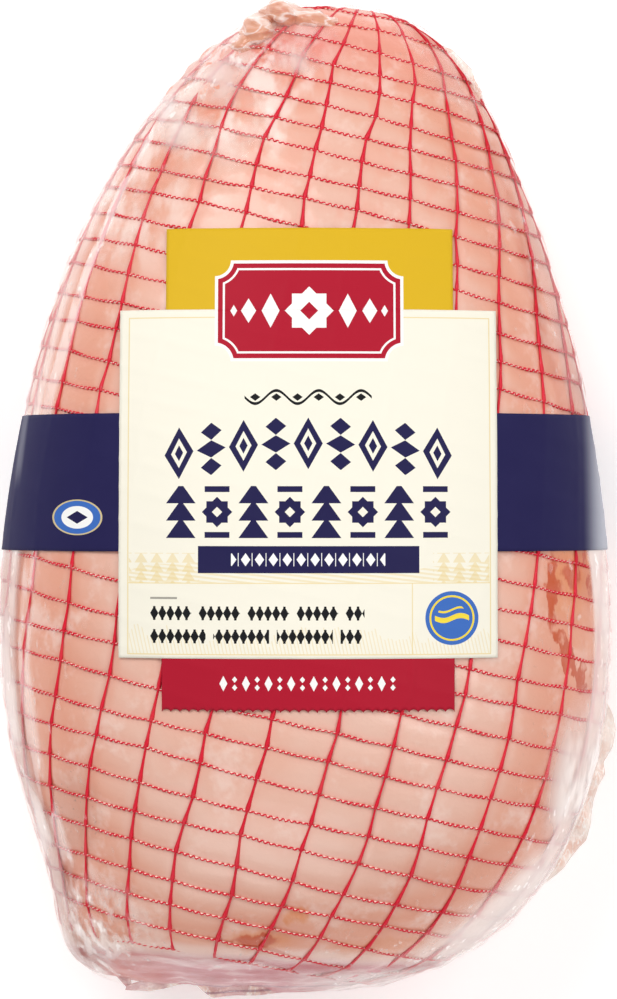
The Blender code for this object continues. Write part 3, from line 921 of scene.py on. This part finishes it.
def fold_finish(colours):
    """Loose film: milky along its creases and clearer between them, with a painted glow."""
    finish = Finish("loose_film", roughness=0.25, coat_weight=1.0, coat_roughness=0.08)
    # Painted glow: the loose film gives off its own tone as light
    finish.shader.inputs["Emission Strength"].default_value = FILM_GLOW
    ramp = finish.ramp
    streak = finish.noise(0.006, 4.0, stretch=(1.2, 0.8, 1.0), shift=29.0)
    blush = finish.noise(0.009, 3.0, shift=33.0)
    fold = finish.noise(0.0035, 3.0, stretch=(1.4, 0.6, 1.0), shift=35.0)
    warm = ramp(blush, 0.42, 0.64) * 0.85
    finish.tone = finish.mix(warm, (0.90, 0.775, 0.705), (0.80, 0.50, 0.39))
    finish.lay(ramp(abs(fold - 0.5), 0.035, 0.0) * 0.8, (0.97, 0.93, 0.90))
    x, y, _ = finish.axes()
    backed = ramp(y, -139.0, -143.5) * (x < 20.0)
    finish.lay(backed * ramp(streak, 0.66, 0.44) * 0.85, (0.60, 0.27, 0.27))
    seam = ramp(abs(y + 147.0 - x * 0.065), 0.60, 0.15) * backed * (x > -34.0)
    finish.lay(seam * 0.7, (0.26, 0.07, 0.12))
    veil = 0.66 + ramp(streak, 0.40, 0.64) * 0.28
    normal = finish.bump(streak + fold, 0.6, 0.0015)
    return finish.paint(emission_color=finish.tone, alpha=veil, normal=normal)


def fat_finish(colours):
    """Gathered fat and skin at the shank end."""
    finish = Finish(
        "gathered_fat",
        roughness=0.34,
        coat_weight=0.7,
        coat_roughness=0.12,
    )
    x, y, _ = finish.axes()
    ramp, spot = finish.ramp, partial(finish.spot, x, y)
    marble = finish.noise(0.0065, 5.0, stretch=(0.7, 1.6, 0.8), shift=37.0)
    skin = spot((-19.0, 137.5), (9.0, 8.0))
    pale = ramp(marble - skin * 0.20, 0.47, 0.64)
    finish.tone = finish.mix(pale * 0.85, (0.70, 0.315, 0.195), (0.89, 0.68, 0.60))
    vein = ramp(abs(marble - 0.47), 0.020, 0.0) * 0.35
    finish.lay(vein, (0.66, 0.22, 0.20))
    wrinkle = finish.noise(0.0070, 2.0, stretch=(0.6, 1.5, 0.8), shift=43.0)
    finish.lay(ramp(abs(wrinkle - 0.5), 0.036, 0.004) * 0.6, (0.95, 0.84, 0.80))
    return finish.paint(normal=finish.bump(marble + wrinkle * 0.6, 0.7, 0.0018))


def star(x, y, reach):
    """An eight-point star of a square and a diamond."""
    x, y = abs(x), abs(y)
    return ((x + y) < reach * 1.42) | ((x | y) < reach)


def diamond(x, y, half_width, half_height):
    return (abs(x) / half_width + abs(y) / half_height) < 1.0


def box(x, y, half_width, half_height):
    return (abs(x) < half_width) & (abs(y) < half_height)


def cell(value, size):
    """The place within a repeat, from minus to plus half a size, and the repeat's number."""
    turns = value / size
    number = turns.floor()
    return (turns - number - 0.5) * size, number


def every_other(number):
    return abs(number.modulo(2.0)) > 0.5


def plaque(finish, x, y, colours):
    """A red ticket-shaped plaque with a star between diamonds."""
    x, y = x - PLAQUE_MIDDLE[0], y - PLAQUE_MIDDLE[1]
    half_width, half_height = PLAQUE_HALF
    across, up = abs(x), abs(y)

    def ticket(inset):
        corner_x, corner_y = across - half_width, up - half_height
        bite = (corner_x * corner_x + corner_y * corner_y) > (PLAQUE_BITE + inset) ** 2
        return box(x, y, half_width - inset, half_height - inset) & bite

    finish.lay(ticket(0.0), colours.white)
    finish.lay(ticket(0.9), colours.red)
    finish.lay(ticket(2.3), colours.white)
    finish.lay(ticket(2.9), colours.red)
    marks = star(x, y, 5.0) | diamond(across - 11.2, y, 2.6, 5.0)
    marks = marks | diamond(across - 17.6, y, 2.2, 3.6) | diamond(across - 21.9, y, 1.0, 1.7)
    finish.lay(marks, colours.white)
    heart = diamond(x, y, 2.6, 2.6)
    finish.lay(heart, colours.red)


def panel_finish(colours):
    """Cream panel with knitted-pattern rows, fine gold lines and a low landscape."""
    finish = Finish("panel_print", roughness=0.5, specular_ior_level=0.08)
    x, y, _ = finish.axes()
    paper = finish.noise(0.010, 3.0)
    finish.tone = finish.mix(paper * 0.10, colours.cream, (0.84, 0.79, 0.65))

    ridge = 0.9 * (x / 7.0).sine() + 0.5 * (x / 2.6).sine()
    ground = box(x - 0.3, y + 20.0, 52.2, 9.0) & (y < ridge - 19.0) & (y > -24.0)
    hatch = (y * 5.0 + x * 0.6).sine() > 0.1
    fir_x, _ = cell(x, 4.6)
    tier, _ = cell(y + 26.0, 2.6)
    firs = (abs(fir_x) < 1.9 - (tier + 1.3) * 0.62) & (y > -24.0) & (y < -15.4)
    firs = firs & ((x < -31.5) | (x > 36.0)) & box(x - 0.3, y, 52.2, 50.0)
    wild = finish.noise(0.0035, 1.0, stretch=(1.0, 0.1, 1.0))
    blade, _ = cell(x + y * 0.22, 1.05)
    grass = (abs(blade) < 0.16) & (y < wild * 15.0 - 46.5) & box(x - 0.3, y - 4.15, 52.2, 48.6)
    finish.lay((ground & hatch) * 0.42, colours.gold)
    finish.lay(firs * 0.50, colours.gold)
    finish.lay(grass * 0.38, colours.gold)

    rim = abs((abs(x - 0.3) - 52.5) | (abs(y - 4.15) - 48.75)) < 0.16
    lines = rim | box(x - 0.3, y + 24.1, 52.4, 0.14) | box(x - 30.0, y + 34.4, 0.14, 10.3)
    finish.lay(lines * 0.75, colours.gold)

    wave = 1.9 * (x / 1.95).sine()
    vine = (abs(y - 29.6 - wave) < 0.42) & (abs(x) < 18.4)
    leaf_x, _ = cell(x, 6.126)
    vine = vine | diamond(leaf_x, y - 29.6, 1.5, 1.1) & (abs(x) < 18.4)
    finish.lay(vine, colours.ink)

    arch = y - 16.2 + (x / 42.0) * (x / 42.0) * 3.6
    cell_x, number = cell(x + 42.0, 9.34)
    side = abs(cell_x)
    lozenge = diamond(cell_x, arch, 4.2, 7.5) & ((side / 2.3 + abs(arch) / 4.3) > 1.0)
    lozenge = lozenge | diamond(cell_x, arch, 1.2, 2.3)
    stack = diamond(cell_x, abs(arch) - 5.1, 3.0, 2.5) | diamond(cell_x, arch, 4.2, 2.5)
    row = finish.add("ShaderNodeMix", None, every_other(number), (0.0,) * 3, lozenge, stack)
    upper_row = row & box(x, arch, 42.0, 7.5)
    finish.lay(upper_row, colours.navy)

    low = y + 3.6
    cell_x, number = cell(x + 42.0, 10.5)
    tier, _ = cell(low + 7.5, 5.0)
    fir = (abs(cell_x) < 4.3 - (tier + 2.5) * 0.72) & box(cell_x, low, 4.4, 7.5)
    rose = star(cell_x, low, 3.1) & ((abs(cell_x) + abs(low)) > 1.5)
    rose = rose | box(cell_x, abs(low) - 6.6, 3.6, 0.85)
    row = finish.add("ShaderNodeMix", None, every_other(number), (0.0,) * 3, fir, rose)
    lower_row = row & box(x, low, 42.0, 7.5)
    finish.lay(lower_row, colours.navy)

    finish.lay(box(x - 0.15, y + 17.3, 31.9, 3.9), colours.navy)
    dot_x, number = cell(x + 24.0, 4.0)
    small = diamond(dot_x, y + 17.3, 1.35, 1.9) | box(dot_x - 2.0, y + 17.3, 0.22, 1.9)
    finish.lay(small & (abs(x) < 22.2), colours.white)

    for middle, end, group in ((-32.75, 16.2, 14.1), (-39.4, 15.4, 18.3)):
        mark_x, _ = cell(x + 45.6, 2.35)
        gap, _ = cell(x + 45.6, group)
        shape = diamond(mark_x, y - middle, 1.2, 2.1) | box(mark_x, y - middle, 0.36, 2.0)
        line = shape & (gap < group * 0.5 - 2.2) & (x > -45.6) & (x < end)
        finish.lay(line, colours.ink)
    finish.lay(box(x + 41.7, y + 28.4, 3.9, 0.3) * 0.6, colours.ink)

    disc_x, disc_y = x - 41.5, y + 34.2
    radius = (disc_x * disc_x + disc_y * disc_y) ** 0.5
    finish.lay(radius < 7.75, colours.blue)
    ripple = disc_y - 0.7 * (disc_x / 1.6).sine()
    marks = (abs(radius - 6.3) < 0.28) | (abs(ripple) < 0.75) & (radius < 5.0)
    marks = marks | (abs(ripple - 2.4) < 0.3) & (radius < 4.4)
    finish.lay(marks, (0.86, 0.66, 0.06))

    plaque(finish, x, y, colours)
    normal = finish.bump(paper, 0.08, 0.0004)
    return finish.paint(normal=normal)


def upper_tab_finish(colours):
    """Yellow tab, with the upper part of the plaque."""
    finish = Finish("yellow_print", roughness=0.5, specular_ior_level=0.08)
    x, y, _ = finish.axes()
    paper = finish.noise(0.012, 3.0, shift=2.0)
    finish.tone = finish.mix(paper * 0.14, colours.yellow, (0.65, 0.385, 0.02))
    plaque(finish, x, y, colours)
    return finish.paint(normal=finish.bump(paper, 0.08, 0.0004))


def lower_tab_finish(colours):
    """Red tab with a row of white diamonds."""
    finish = Finish("red_print", roughness=0.5, specular_ior_level=0.08)
    x, y, _ = finish.axes()
    paper = finish.noise(0.012, 3.0, shift=4.0)
    finish.tone = finish.mix(paper * 0.14, colours.red, (0.38, 0.010, 0.024))
    cell_x, number = cell(x + 26.0, 3.25)
    tall = diamond(cell_x, y + 52.9, 1.15, 2.2)
    short = diamond(cell_x, abs(y + 52.9) - 1.15, 0.75, 0.9)
    row = finish.add("ShaderNodeMix", None, every_other(number), (0.0,) * 3, tall, short)
    finish.lay(row & (abs(x) < 26.0), colours.white)
    return finish.paint(normal=finish.bump(paper, 0.08, 0.0004))


def band_finish(colours):
    """Navy band with a small oval roundel on its left side, a lighter painted reflection towards
    its right end and a painted highlight streak near its left edge.
    """
    finish = Finish("navy_print", roughness=0.55, specular_ior_level=0.05)
    x, y, z = finish.axes()
    paper = finish.noise(0.012, 3.0, shift=6.0)
    finish.tone = finish.mix(paper * 0.3, colours.navy, (0.034, 0.030, 0.105))
    upper = z > 40.0
    # The sheen mask is a painted reflection towards the band's right end
    painted_sheen = finish.ramp(x, 81.0, 88.8) * 0.74
    # The crease mask here is no crease but a painted highlight streak near the band's left edge
    crease = finish.ramp(abs(x + 87.4 - y * 0.12), 1.7, 0.3) * finish.ramp(y, 2.0, 12.0)
    painted_sheen = painted_sheen | crease * 0.20
    finish.lay(painted_sheen & upper, (0.62, 0.63, 0.70))
    oval_x, oval_y = (x + 67.4) / 7.6, (y + 5.2) / 5.2
    reach = oval_x * oval_x + oval_y * oval_y
    finish.lay((reach < 1.0) & upper, (0.62, 0.50, 0.27))
    finish.lay((reach < 0.86) & upper, colours.blue)
    finish.lay((reach < 0.40) & upper, colours.white)
    finish.lay(diamond(oval_x, oval_y, 0.42, 0.36) & upper, colours.navy)
    return finish.paint(normal=finish.bump(paper, 0.10, 0.0005))


def floor_finish(stage):
    finish = Finish("pale_floor", roughness=0.9, specular_ior_level=0.0)
    finish.shader.inputs["Emission Color"].default_value = (1.0, 1.0, 1.0, 1.0)
    finish.shader.inputs["Emission Strength"].default_value = 0.30
    grain = finish.noise(0.4, 2.0)
    finish.tone = finish.mix(grain * 0.1, stage.floor, (0.93, 0.93, 0.93))
    return finish.paint()


class HAM_OT_meat(bpy.types.Operator):
    """Make the boned ham, swelling between the strands of its net"""

    bl_idname = "ham.meat"
    bl_label = "Meat"

    def execute(self, context):
        _, skin = layout()
        net = context.scene.ham_net
        near = {}

        def place(column, hoop):
            ends = smoothstep(-hoop, -skin.hoops - 1.0, -skin.hoops)
            inside = smoothstep(hoop, -3.6, -2.6) * ends
            sideways = np.abs(column - np.round(column)) * skin.widest / net.columns
            lengthways = np.abs(hoop - np.round(hoop)) * net.pitch
            groove = np.exp(-((np.minimum(sideways, lengthways) / GROOVE_WIDTH) ** 2)) * inside
            near["net"] = groove
            points, normals = skin.at(column, hoop)
            shank = np.exp(-(((points[:, 0] + 0.034) / 0.020) ** 2))
            shank = shank * smoothstep(points[:, 1], 0.092, 0.122)
            butt = smoothstep(-points[:, 1], 0.124, 0.142)
            ripple = rough(points, 0.011, 3.0) * 0.0022 * shank
            ripple = ripple + rough(points, 0.016, 9.0) * 0.0018 * butt
            ripple = ripple + rough(points, 0.030, 5.0) * 0.0004
            lift = PILLOW_LIFT + (GROOVE_LIFT - PILLOW_LIFT) * groove + ripple
            lift = np.minimum(lift, 0.0001 + 0.0016 * np.maximum(shank, butt))
            lift = np.where(points[:, 2] < BACK_HEIGHT, np.minimum(lift, 0.0), lift)
            return points + normals * lift[:, None]

        bm = wrap(skin, place)
        finish = meat_finish(context.scene.ham_colours)
        piece = keep(bm, "ham_meat", finish, "sealed_ham", "sealed_ham")
        layer = piece.data.attributes.new("near_net", "FLOAT", "POINT")
        layer.data.foreach_set("value", near["net"].astype("f"))
        return {"FINISHED"}


def strand_lines(skin, net):
    """Lengthwise ribbons, thin after each hoop and thick before the next."""
    shares = np.array([0.0, 0.05, 0.30, 0.60, 0.86, 0.97])
    swell = np.array([0.6, 0.05, 0.10, 0.40, 1.0, 0.9])
    last = skin.hoops + BUTT_HOOPS
    first = np.arange(-SHANK_HOOPS, last)
    hoops = np.append((first[:, None] + shares).ravel(), last)
    swell = np.append(np.tile(swell, len(first)), 0.6)
    radii = 1.0 + swell * (net.ribbon_thick / net.ribbon_thin - 1.0)
    radii = radii * (0.84 + 0.16 * smoothstep(hoops, -2.0, 5.0))
    lines = []
    for column in range(-net.columns // 2, net.columns - net.columns // 2):
        points, _ = skin.at(float(column), hoops, RIBBON_LIFT)
        lines.append((points, radii, False))
    return lines


def hoop_lines(skin, net, hoop):
    """The two chain yarns of a hoop, which slip along each other, and its elastic core."""
    dense = np.linspace(-net.columns / 2.0, net.columns / 2.0, 8 * net.columns + 1)
    points, _ = skin.at(dense, float(hoop))
    lengths = lengths_along(points)
    stitches = max(8, round(lengths[-1] / net.stitch))
    count = 4 * stitches
    column = np.interp(np.arange(count) / count * lengths[-1], lengths, dense)
    middle, normal = skin.at(column, float(hoop), YARN_LIFT)
    ahead = np.roll(middle, -1, axis=0) - np.roll(middle, 1, axis=0)
    sideways = unit(np.cross(normal, ahead))
    beat = np.arange(count) * math.pi / 2.0
    turn = 2.0 * math.pi * np.arange(count) / count
    slip = 0.55 + 0.45 * np.sin(19.0 * turn + 2.3 * hoop) + 0.35 * np.sin(43.0 * turn + hoop)
    reach = net.chain * (0.9 + 0.3 * np.sin(31.0 * turn + 1.9 * hoop))
    yarns = []
    for phase in (np.zeros(count), slip):
        swing = np.sin(beat + phase) * reach
        cross = np.cos(beat + phase) * net.yarn * 0.6
        points = middle + sideways * swing[:, None] + normal * cross[:, None]
        yarns.append((points, np.ones(count), True))
    core, _ = skin.at(dense[:-1], float(hoop), CORE_LIFT)
    return yarns, (core, np.ones(len(core)), True)


class HAM_OT_net(bpy.types.Operator):
    """Make the elastic net: ribbons along the ham and chain-stitched hoops round it"""

    bl_idname = "ham.net"
    bl_label = "Net"

    def execute(self, context):
        _, skin = layout()
        net, colours = context.scene.ham_net, context.scene.ham_colours
        red = yarn_finish(colours)
        mesh = tubes("net_ribbons", strand_lines(skin, net), net.ribbon_thin)
        keep_mesh(mesh, "net_ribbons", red, "sealed_ham")
        numbers = range(-SHANK_HOOPS, skin.hoops + BUTT_HOOPS + 1)
        hoops = [hoop_lines(skin, net, hoop) for hoop in numbers]
        for part in range(4):
            lines = [yarn for yarns, _ in hoops[part::4] for yarn in yarns]
            name = f"net_hoops_{part + 1}"
            keep_mesh(tubes(name, lines, net.yarn), name, red, "sealed_ham")
        mesh = tubes("net_core", [core for _, core in hoops], net.yarn * 1.1)
        keep_mesh(mesh, "net_core", core_finish(colours), "sealed_ham")
        return {"FINISHED"}


class HAM_OT_film(bpy.types.Operator):
    """Make the clear shrink film and its loose folds"""

    bl_idname = "ham.film"
    bl_label = "Film"

    def execute(self, context):
        form, skin = layout()
        colours = context.scene.ham_colours

        def place(column, hoop):
            points, normals = skin.at(column, hoop)
            side = 1.0 - np.abs(normals[:, 2])
            pleat = np.abs(rough(points * [1.0, 0.45, 1.0], 0.007, 7.0, 2))
            ends = smoothstep(np.abs(points[:, 1]), 0.118, 0.142)
            lift = FILM_LIFT + PLEAT_LIFT * pleat * np.maximum(smoothstep(side, 0.55, 0.95), ends)
            lift = lift + ends * 0.0004
            band = 1.0 - smoothstep(np.abs(points[:, 1] - form.band_middle), 0.021, 0.026)
            lift = lift + (FILM_LIFT - 0.0002 - lift) * band
            lift = np.where(points[:, 2] < BACK_HEIGHT, FILM_LIFT * 0.2, lift)
            return points + normals * lift[:, None]

        keep(wrap(skin, place), "film_skin", film_finish(colours), "sealed_ham")
        finish = fold_finish(colours)
        for name, (edge, width) in LOOSE_FILM.items():
            keep(skirt(form, edge, width), name, finish, "sealed_ham")
        return {"FINISHED"}


def skirt(form, edge, width):
    """Loose film that stands out from the ham's widest line, as far as an edge in the plan."""
    edge = np.array(edge) / 1000.0
    lengths = lengths_along(edge)
    count = int(lengths[-1] / FOLD_STEP)
    bm = bmesh.new()
    bmesh.ops.create_grid(bm, x_segments=count, y_segments=10, size=0.5)
    plan = places(bm)
    along, out = plan[:, 0] + 0.5, plan[:, 1] + 0.5
    way = along * lengths[-1]
    rim = np.stack([np.interp(way, lengths, edge[:, axis]) for axis in (0, 1)], axis=1)
    inward = -unit(rim)
    ruffle = np.sin(along * count * 0.31) + 0.6 * np.sin(along * count * 0.11 + 1.0)
    swell = np.minimum(1.0, np.minimum(along, 1.0 - along) * 12.0)
    width = width * (0.35 + 0.65 * swell)
    points = rim + inward * (width * (1.0 - out))[:, None]
    z = form.sizes.equator + 0.0012 * ruffle * (0.3 + out) + 0.004 * (1.0 - out)
    move(bm, np.column_stack([points, z]))
    bmesh.ops.recalc_face_normals(bm, faces=bm.faces)
    bmesh.ops.solidify(bm, geom=bm.faces[:], thickness=FILM_THICKNESS)
    bmesh.ops.recalc_face_normals(bm, faces=bm.faces)
    return bm


class HAM_OT_shank(bpy.types.Operator):
    """Make the gathered fat and skin at the shank end"""

    bl_idname = "ham.shank"
    bl_label = "Shank folds"

    def execute(self, context):
        bm = bmesh.new()
        for centre, radii, turn in (
            ((-0.0074, 0.1450, 0.056), (0.0066, 0.0046, 0.013), -8.0),
            ((-0.0140, 0.1392, 0.056), (0.0062, 0.0060, 0.015), 30.0),
            ((-0.0190, 0.1352, 0.055), (0.0072, 0.0038, 0.014), 30.0),
            ((0.0010, 0.1432, 0.056), (0.0120, 0.0034, 0.012), -12.0),
            ((-0.0290, 0.1255, 0.050), (0.0080, 0.0030, 0.012), 42.0),
        ):
            turned = Matrix.Rotation(math.radians(turn), 4, "Z") @ Matrix.Diagonal((*radii, 1.0))
            place = Matrix.Translation(centre) @ turned
            bmesh.ops.create_icosphere(bm, subdivisions=4, radius=1.0, matrix=place)
        lumps = add_object("shank_lumps", to_mesh(bm, "shank_lumps"))
        melt = lumps.modifiers.new("melt", "REMESH")
        melt.mode = "VOXEL"
        melt.voxel_size = SHANK_VOXEL
        bm = bmesh.new()
        bm.from_mesh(settle(lumps))
        every_way = {"use_axis_x": True, "use_axis_y": True, "use_axis_z": True}
        for _ in range(6):
            bmesh.ops.smooth_vert(bm, verts=bm.verts, factor=0.5, **every_way)
        bm.normal_update()
        points = places(bm)
        fold = 0.5 - np.abs(rough(points * [0.7, 1.6, 0.5], 0.0060, 4.0, 2))
        crumple = fold * 0.0020 + rough(points, 0.010, 12.0, 2) * 0.0012
        for vert, lift in zip(bm.verts, crumple):
            vert.co = vert.co + vert.normal * lift
        keep(bm, "shank_folds", fat_finish(context.scene.ham_colours), "sealed_ham")
        return {"FINISHED"}


class Emboss:
    """How far the net lifts what lies over it."""

    def __init__(self, skin, net, height):
        column = np.arange(-net.columns * 2, net.columns * 2) / 4.0
        hoop = np.arange(0, skin.hoops * 6) / 6.0
        samples = [skin.at(column, float(h))[0] for h in range(skin.hoops + 1)]
        samples += [skin.at(float(c), hoop)[0] for c in range(-net.columns // 2, net.columns // 2)]
        points = np.vstack([self.thicken(line) for line in samples])
        self.height = height
        self.tree = KDTree(len(points))
        for index, point in enumerate(points):
            self.tree.insert(point, index)
        self.tree.balance()

    def thicken(self, line):
        """Adds points between the points of a line."""
        shares = np.linspace(0.0, 1.0, 4, endpoint=False)[:, None, None]
        return (line[:-1] * (1.0 - shares) + line[1:] * shares).reshape(-1, 3)

    def lift(self, points):
        away = np.array([self.tree.find(point)[2] for point in points])
        return self.height * np.exp(-((away / EMBOSS_WIDTH) ** 2))


def sheet(form, emboss, thickness, lift, steps, place):
    """A thin closed sheet of label. place gives surface points for shares across and along."""
    bm = bmesh.new()
    bmesh.ops.create_grid(bm, x_segments=steps[0], y_segments=steps[1], size=0.5)
    plan = places(bm) + 0.5
    points = place(plan[:, 0], plan[:, 1])
    normals = form.normals(points)
    points = points + normals * (lift + emboss.lift(points))[:, None]
    move(bm, points)
    bm.normal_update()
    middle = len(points) // 2
    face = min(bm.faces, key=lambda f: (f.calc_center_median() - Vector(points[middle])).length)
    if face.normal.dot(Vector(normals[middle])) < 0.0:
        bmesh.ops.reverse_faces(bm, faces=bm.faces)
    bmesh.ops.solidify(bm, geom=bm.faces[:], thickness=thickness)
    bmesh.ops.recalc_face_normals(bm, faces=bm.faces)
    return bm


class HAM_OT_label(bpy.types.Operator):
    """Make the printed label: band, tabs and panel"""

    bl_idname = "ham.label"
    bl_label = "Label"

    def execute(self, context):
        form, skin = layout()
        label, colours = context.scene.ham_label, context.scene.ham_colours
        emboss = Emboss(skin, context.scene.ham_net, label.emboss)
        half, tuck = label.panel_half, LABEL_TUCK

        def flat(left, right, low, high):
            def place(across, along):
                x = left + (right - left) * across
                y = low + (high - low) * along
                return form.above(np.column_stack([x, y]))

            return place

        def pinked(across, along):
            x = LOWER_TAB_LEFT + LOWER_TAB_WIDTH * across
            tooth = TOOTH_DEPTH * np.abs(np.sin(math.pi * label.teeth * across)) ** 0.6
            low = label.panel_low - label.lower_tab + tooth
            y = low + (label.panel_low + tuck - low) * along
            return form.above(np.column_stack([x, y]))

        def round_back(across, along):
            return self.band(form, label, tuck, across, along)

        def make(name, lift, steps, place, finish):
            bm = sheet(form, emboss, label.thickness, lift, steps, place)
            keep(bm, name + "_print", finish(colours), name, name)

        panel = flat(-half, half, label.panel_low, label.panel_high)
        top = label.panel_high + label.upper_tab
        upper = flat(*UPPER_TAB_EDGES, label.panel_high - tuck, top)
        make("label_panel", PAPER_LIFT, (116, 108), panel, panel_finish)
        make("label_upper_tab", LOW_PAPER_LIFT, (84, 28), upper, upper_tab_finish)
        make("label_lower_tab", LOW_PAPER_LIFT, (label.teeth * 8, 18), pinked, lower_tab_finish)
        make("label_band", LOW_PAPER_LIFT, (300, 36), round_back, band_finish)
        return {"FINISHED"}

    def band(self, form, label, tuck, across, along):
        """Points round the back, from under the panel's right edge to under its left edge."""
        points = np.zeros((len(across), 3))
        for share in np.unique(along):
            y = label.band_low + (label.band_high - label.band_low) * share
            middle = np.array([form.sizes.middle, y, form.sizes.equator])
            outline = form.section(middle, np.array([1.0, 0.0, 0.0]))
            closed, lengths = arc_lengths(outline)
            x = closed[:, 0]
            edge = label.panel_half - tuck
            upper = closed[:-1, 2] > form.sizes.equator
            right = np.where(upper & (x[:-1] >= edge) & (x[1:] < edge))[0][0]
            left = np.where(upper & (x[:-1] >= -edge) & (x[1:] < -edge))[0][0]
            start = np.interp(-edge, -x[right : right + 2], lengths[right : right + 2])
            end = np.interp(edge, -x[left : left + 2], lengths[left : left + 2]) - lengths[-1]
            row = along == share
            points[row] = points_at(outline, start + (end - start) * across[row])
        return points


def soft_light(name, place, aim, size, power):
    """A soft box turned towards a point."""
    lamp = bpy.data.lights.new(name, "AREA")
    lamp.shape = "RECTANGLE"
    lamp.size, lamp.size_y = size
    lamp.energy = power
    holder = add_object(name, lamp)
    holder.location = place
    holder.rotation_euler = (Vector(aim) - Vector(place)).to_track_quat("-Z", "Y").to_euler()


def studio_world():
    """A pale studio that is darker straight above, where the camera stands."""
    world = bpy.data.worlds.new("studio")
    world.use_nodes = True
    nodes, links = world.node_tree.nodes, world.node_tree.links
    place = nodes.new("ShaderNodeTexCoord")
    parts = nodes.new("ShaderNodeSeparateXYZ")
    rise = nodes.new("ShaderNodeMapRange")
    for index, value in ((1, 0.62), (2, 0.86), (3, 0.52), (4, 0.10)):
        rise.inputs[index].default_value = value
    links.new(place.outputs["Generated"], parts.inputs[0])
    links.new(parts.outputs[2], rise.inputs[0])
    sky = nodes["Background"]
    sky.inputs["Color"].default_value = (1.0, 1.0, 1.0, 1.0)
    links.new(rise.outputs[0], sky.inputs["Strength"])
    return world


class HAM_OT_stage(bpy.types.Operator):
    """Make the plain pale floor, the soft light and the camera"""

    bl_idname = "ham.stage"
    bl_label = "Stage"

    def execute(self, context):
        scene, stage = context.scene, context.scene.ham_stage
        scene.view_settings.view_transform = "Standard"
        bm = bmesh.new()
        bmesh.ops.create_grid(bm, x_segments=2, y_segments=2, size=6.0)
        floor = add_object("floor", to_mesh(bm, "floor"))
        floor.data.materials.append(floor_finish(stage))

        scene.world = studio_world()
        middle = (0.0, 0.0, 0.05)
        soft_light("key", (-0.50, 0.75, 1.15), middle, (0.8, 0.8), stage.key)
        soft_light("fill", (0.75, 0.25, 1.15), middle, (0.8, 0.8), stage.fill)
        soft_light("front", (-0.25, -0.95, 1.05), middle, (0.9, 0.6), stage.front)

        lens = bpy.data.cameras.new("camera")
        lens.sensor_width = 36.0
        lens.lens = 36.0 * stage.distance / stage.frame_height
        camera = add_object("camera", lens)
        camera.location = (0.0001, 0.0, scene.ham_sizes.equator + stage.distance)
        scene.camera = camera
        return {"FINISHED"}


class HAM_PT_panel(bpy.types.Panel):
    """Lists the pieces of the netted ham"""

    bl_idname = "HAM_PT_panel"
    bl_label = "Netted Ham"
    bl_space_type = "VIEW_3D"
    bl_region_type = "UI"
    bl_category = "Ham"

    def draw(self, context):
        for operator in OPERATORS:
            self.layout.operator(operator.bl_idname)


GROUPS = {
    "ham_sizes": HamSizes,
    "ham_net": NetSizes,
    "ham_label": LabelSizes,
    "ham_colours": HamColours,
    "ham_stage": StageSettings,
}
OPERATORS = (HAM_OT_meat, HAM_OT_net, HAM_OT_film, HAM_OT_shank, HAM_OT_label, HAM_OT_stage)


def register():
    for item in (*GROUPS.values(), *OPERATORS, HAM_PT_panel):
        bpy.utils.register_class(item)
    for name, group in GROUPS.items():
        setattr(bpy.types.Scene, name, bpy.props.PointerProperty(type=group))


def unregister():
    for name in GROUPS:
        delattr(bpy.types.Scene, name)
    for item in (HAM_PT_panel, *OPERATORS, *GROUPS.values()):
        bpy.utils.unregister_class(item)


def main():
    register()
    bpy.ops.ham.meat()
    bpy.ops.ham.net()
    bpy.ops.ham.film()
    bpy.ops.ham.shank()
    bpy.ops.ham.label()
    bpy.ops.ham.stage()


if __name__ == "__main__":
    main()
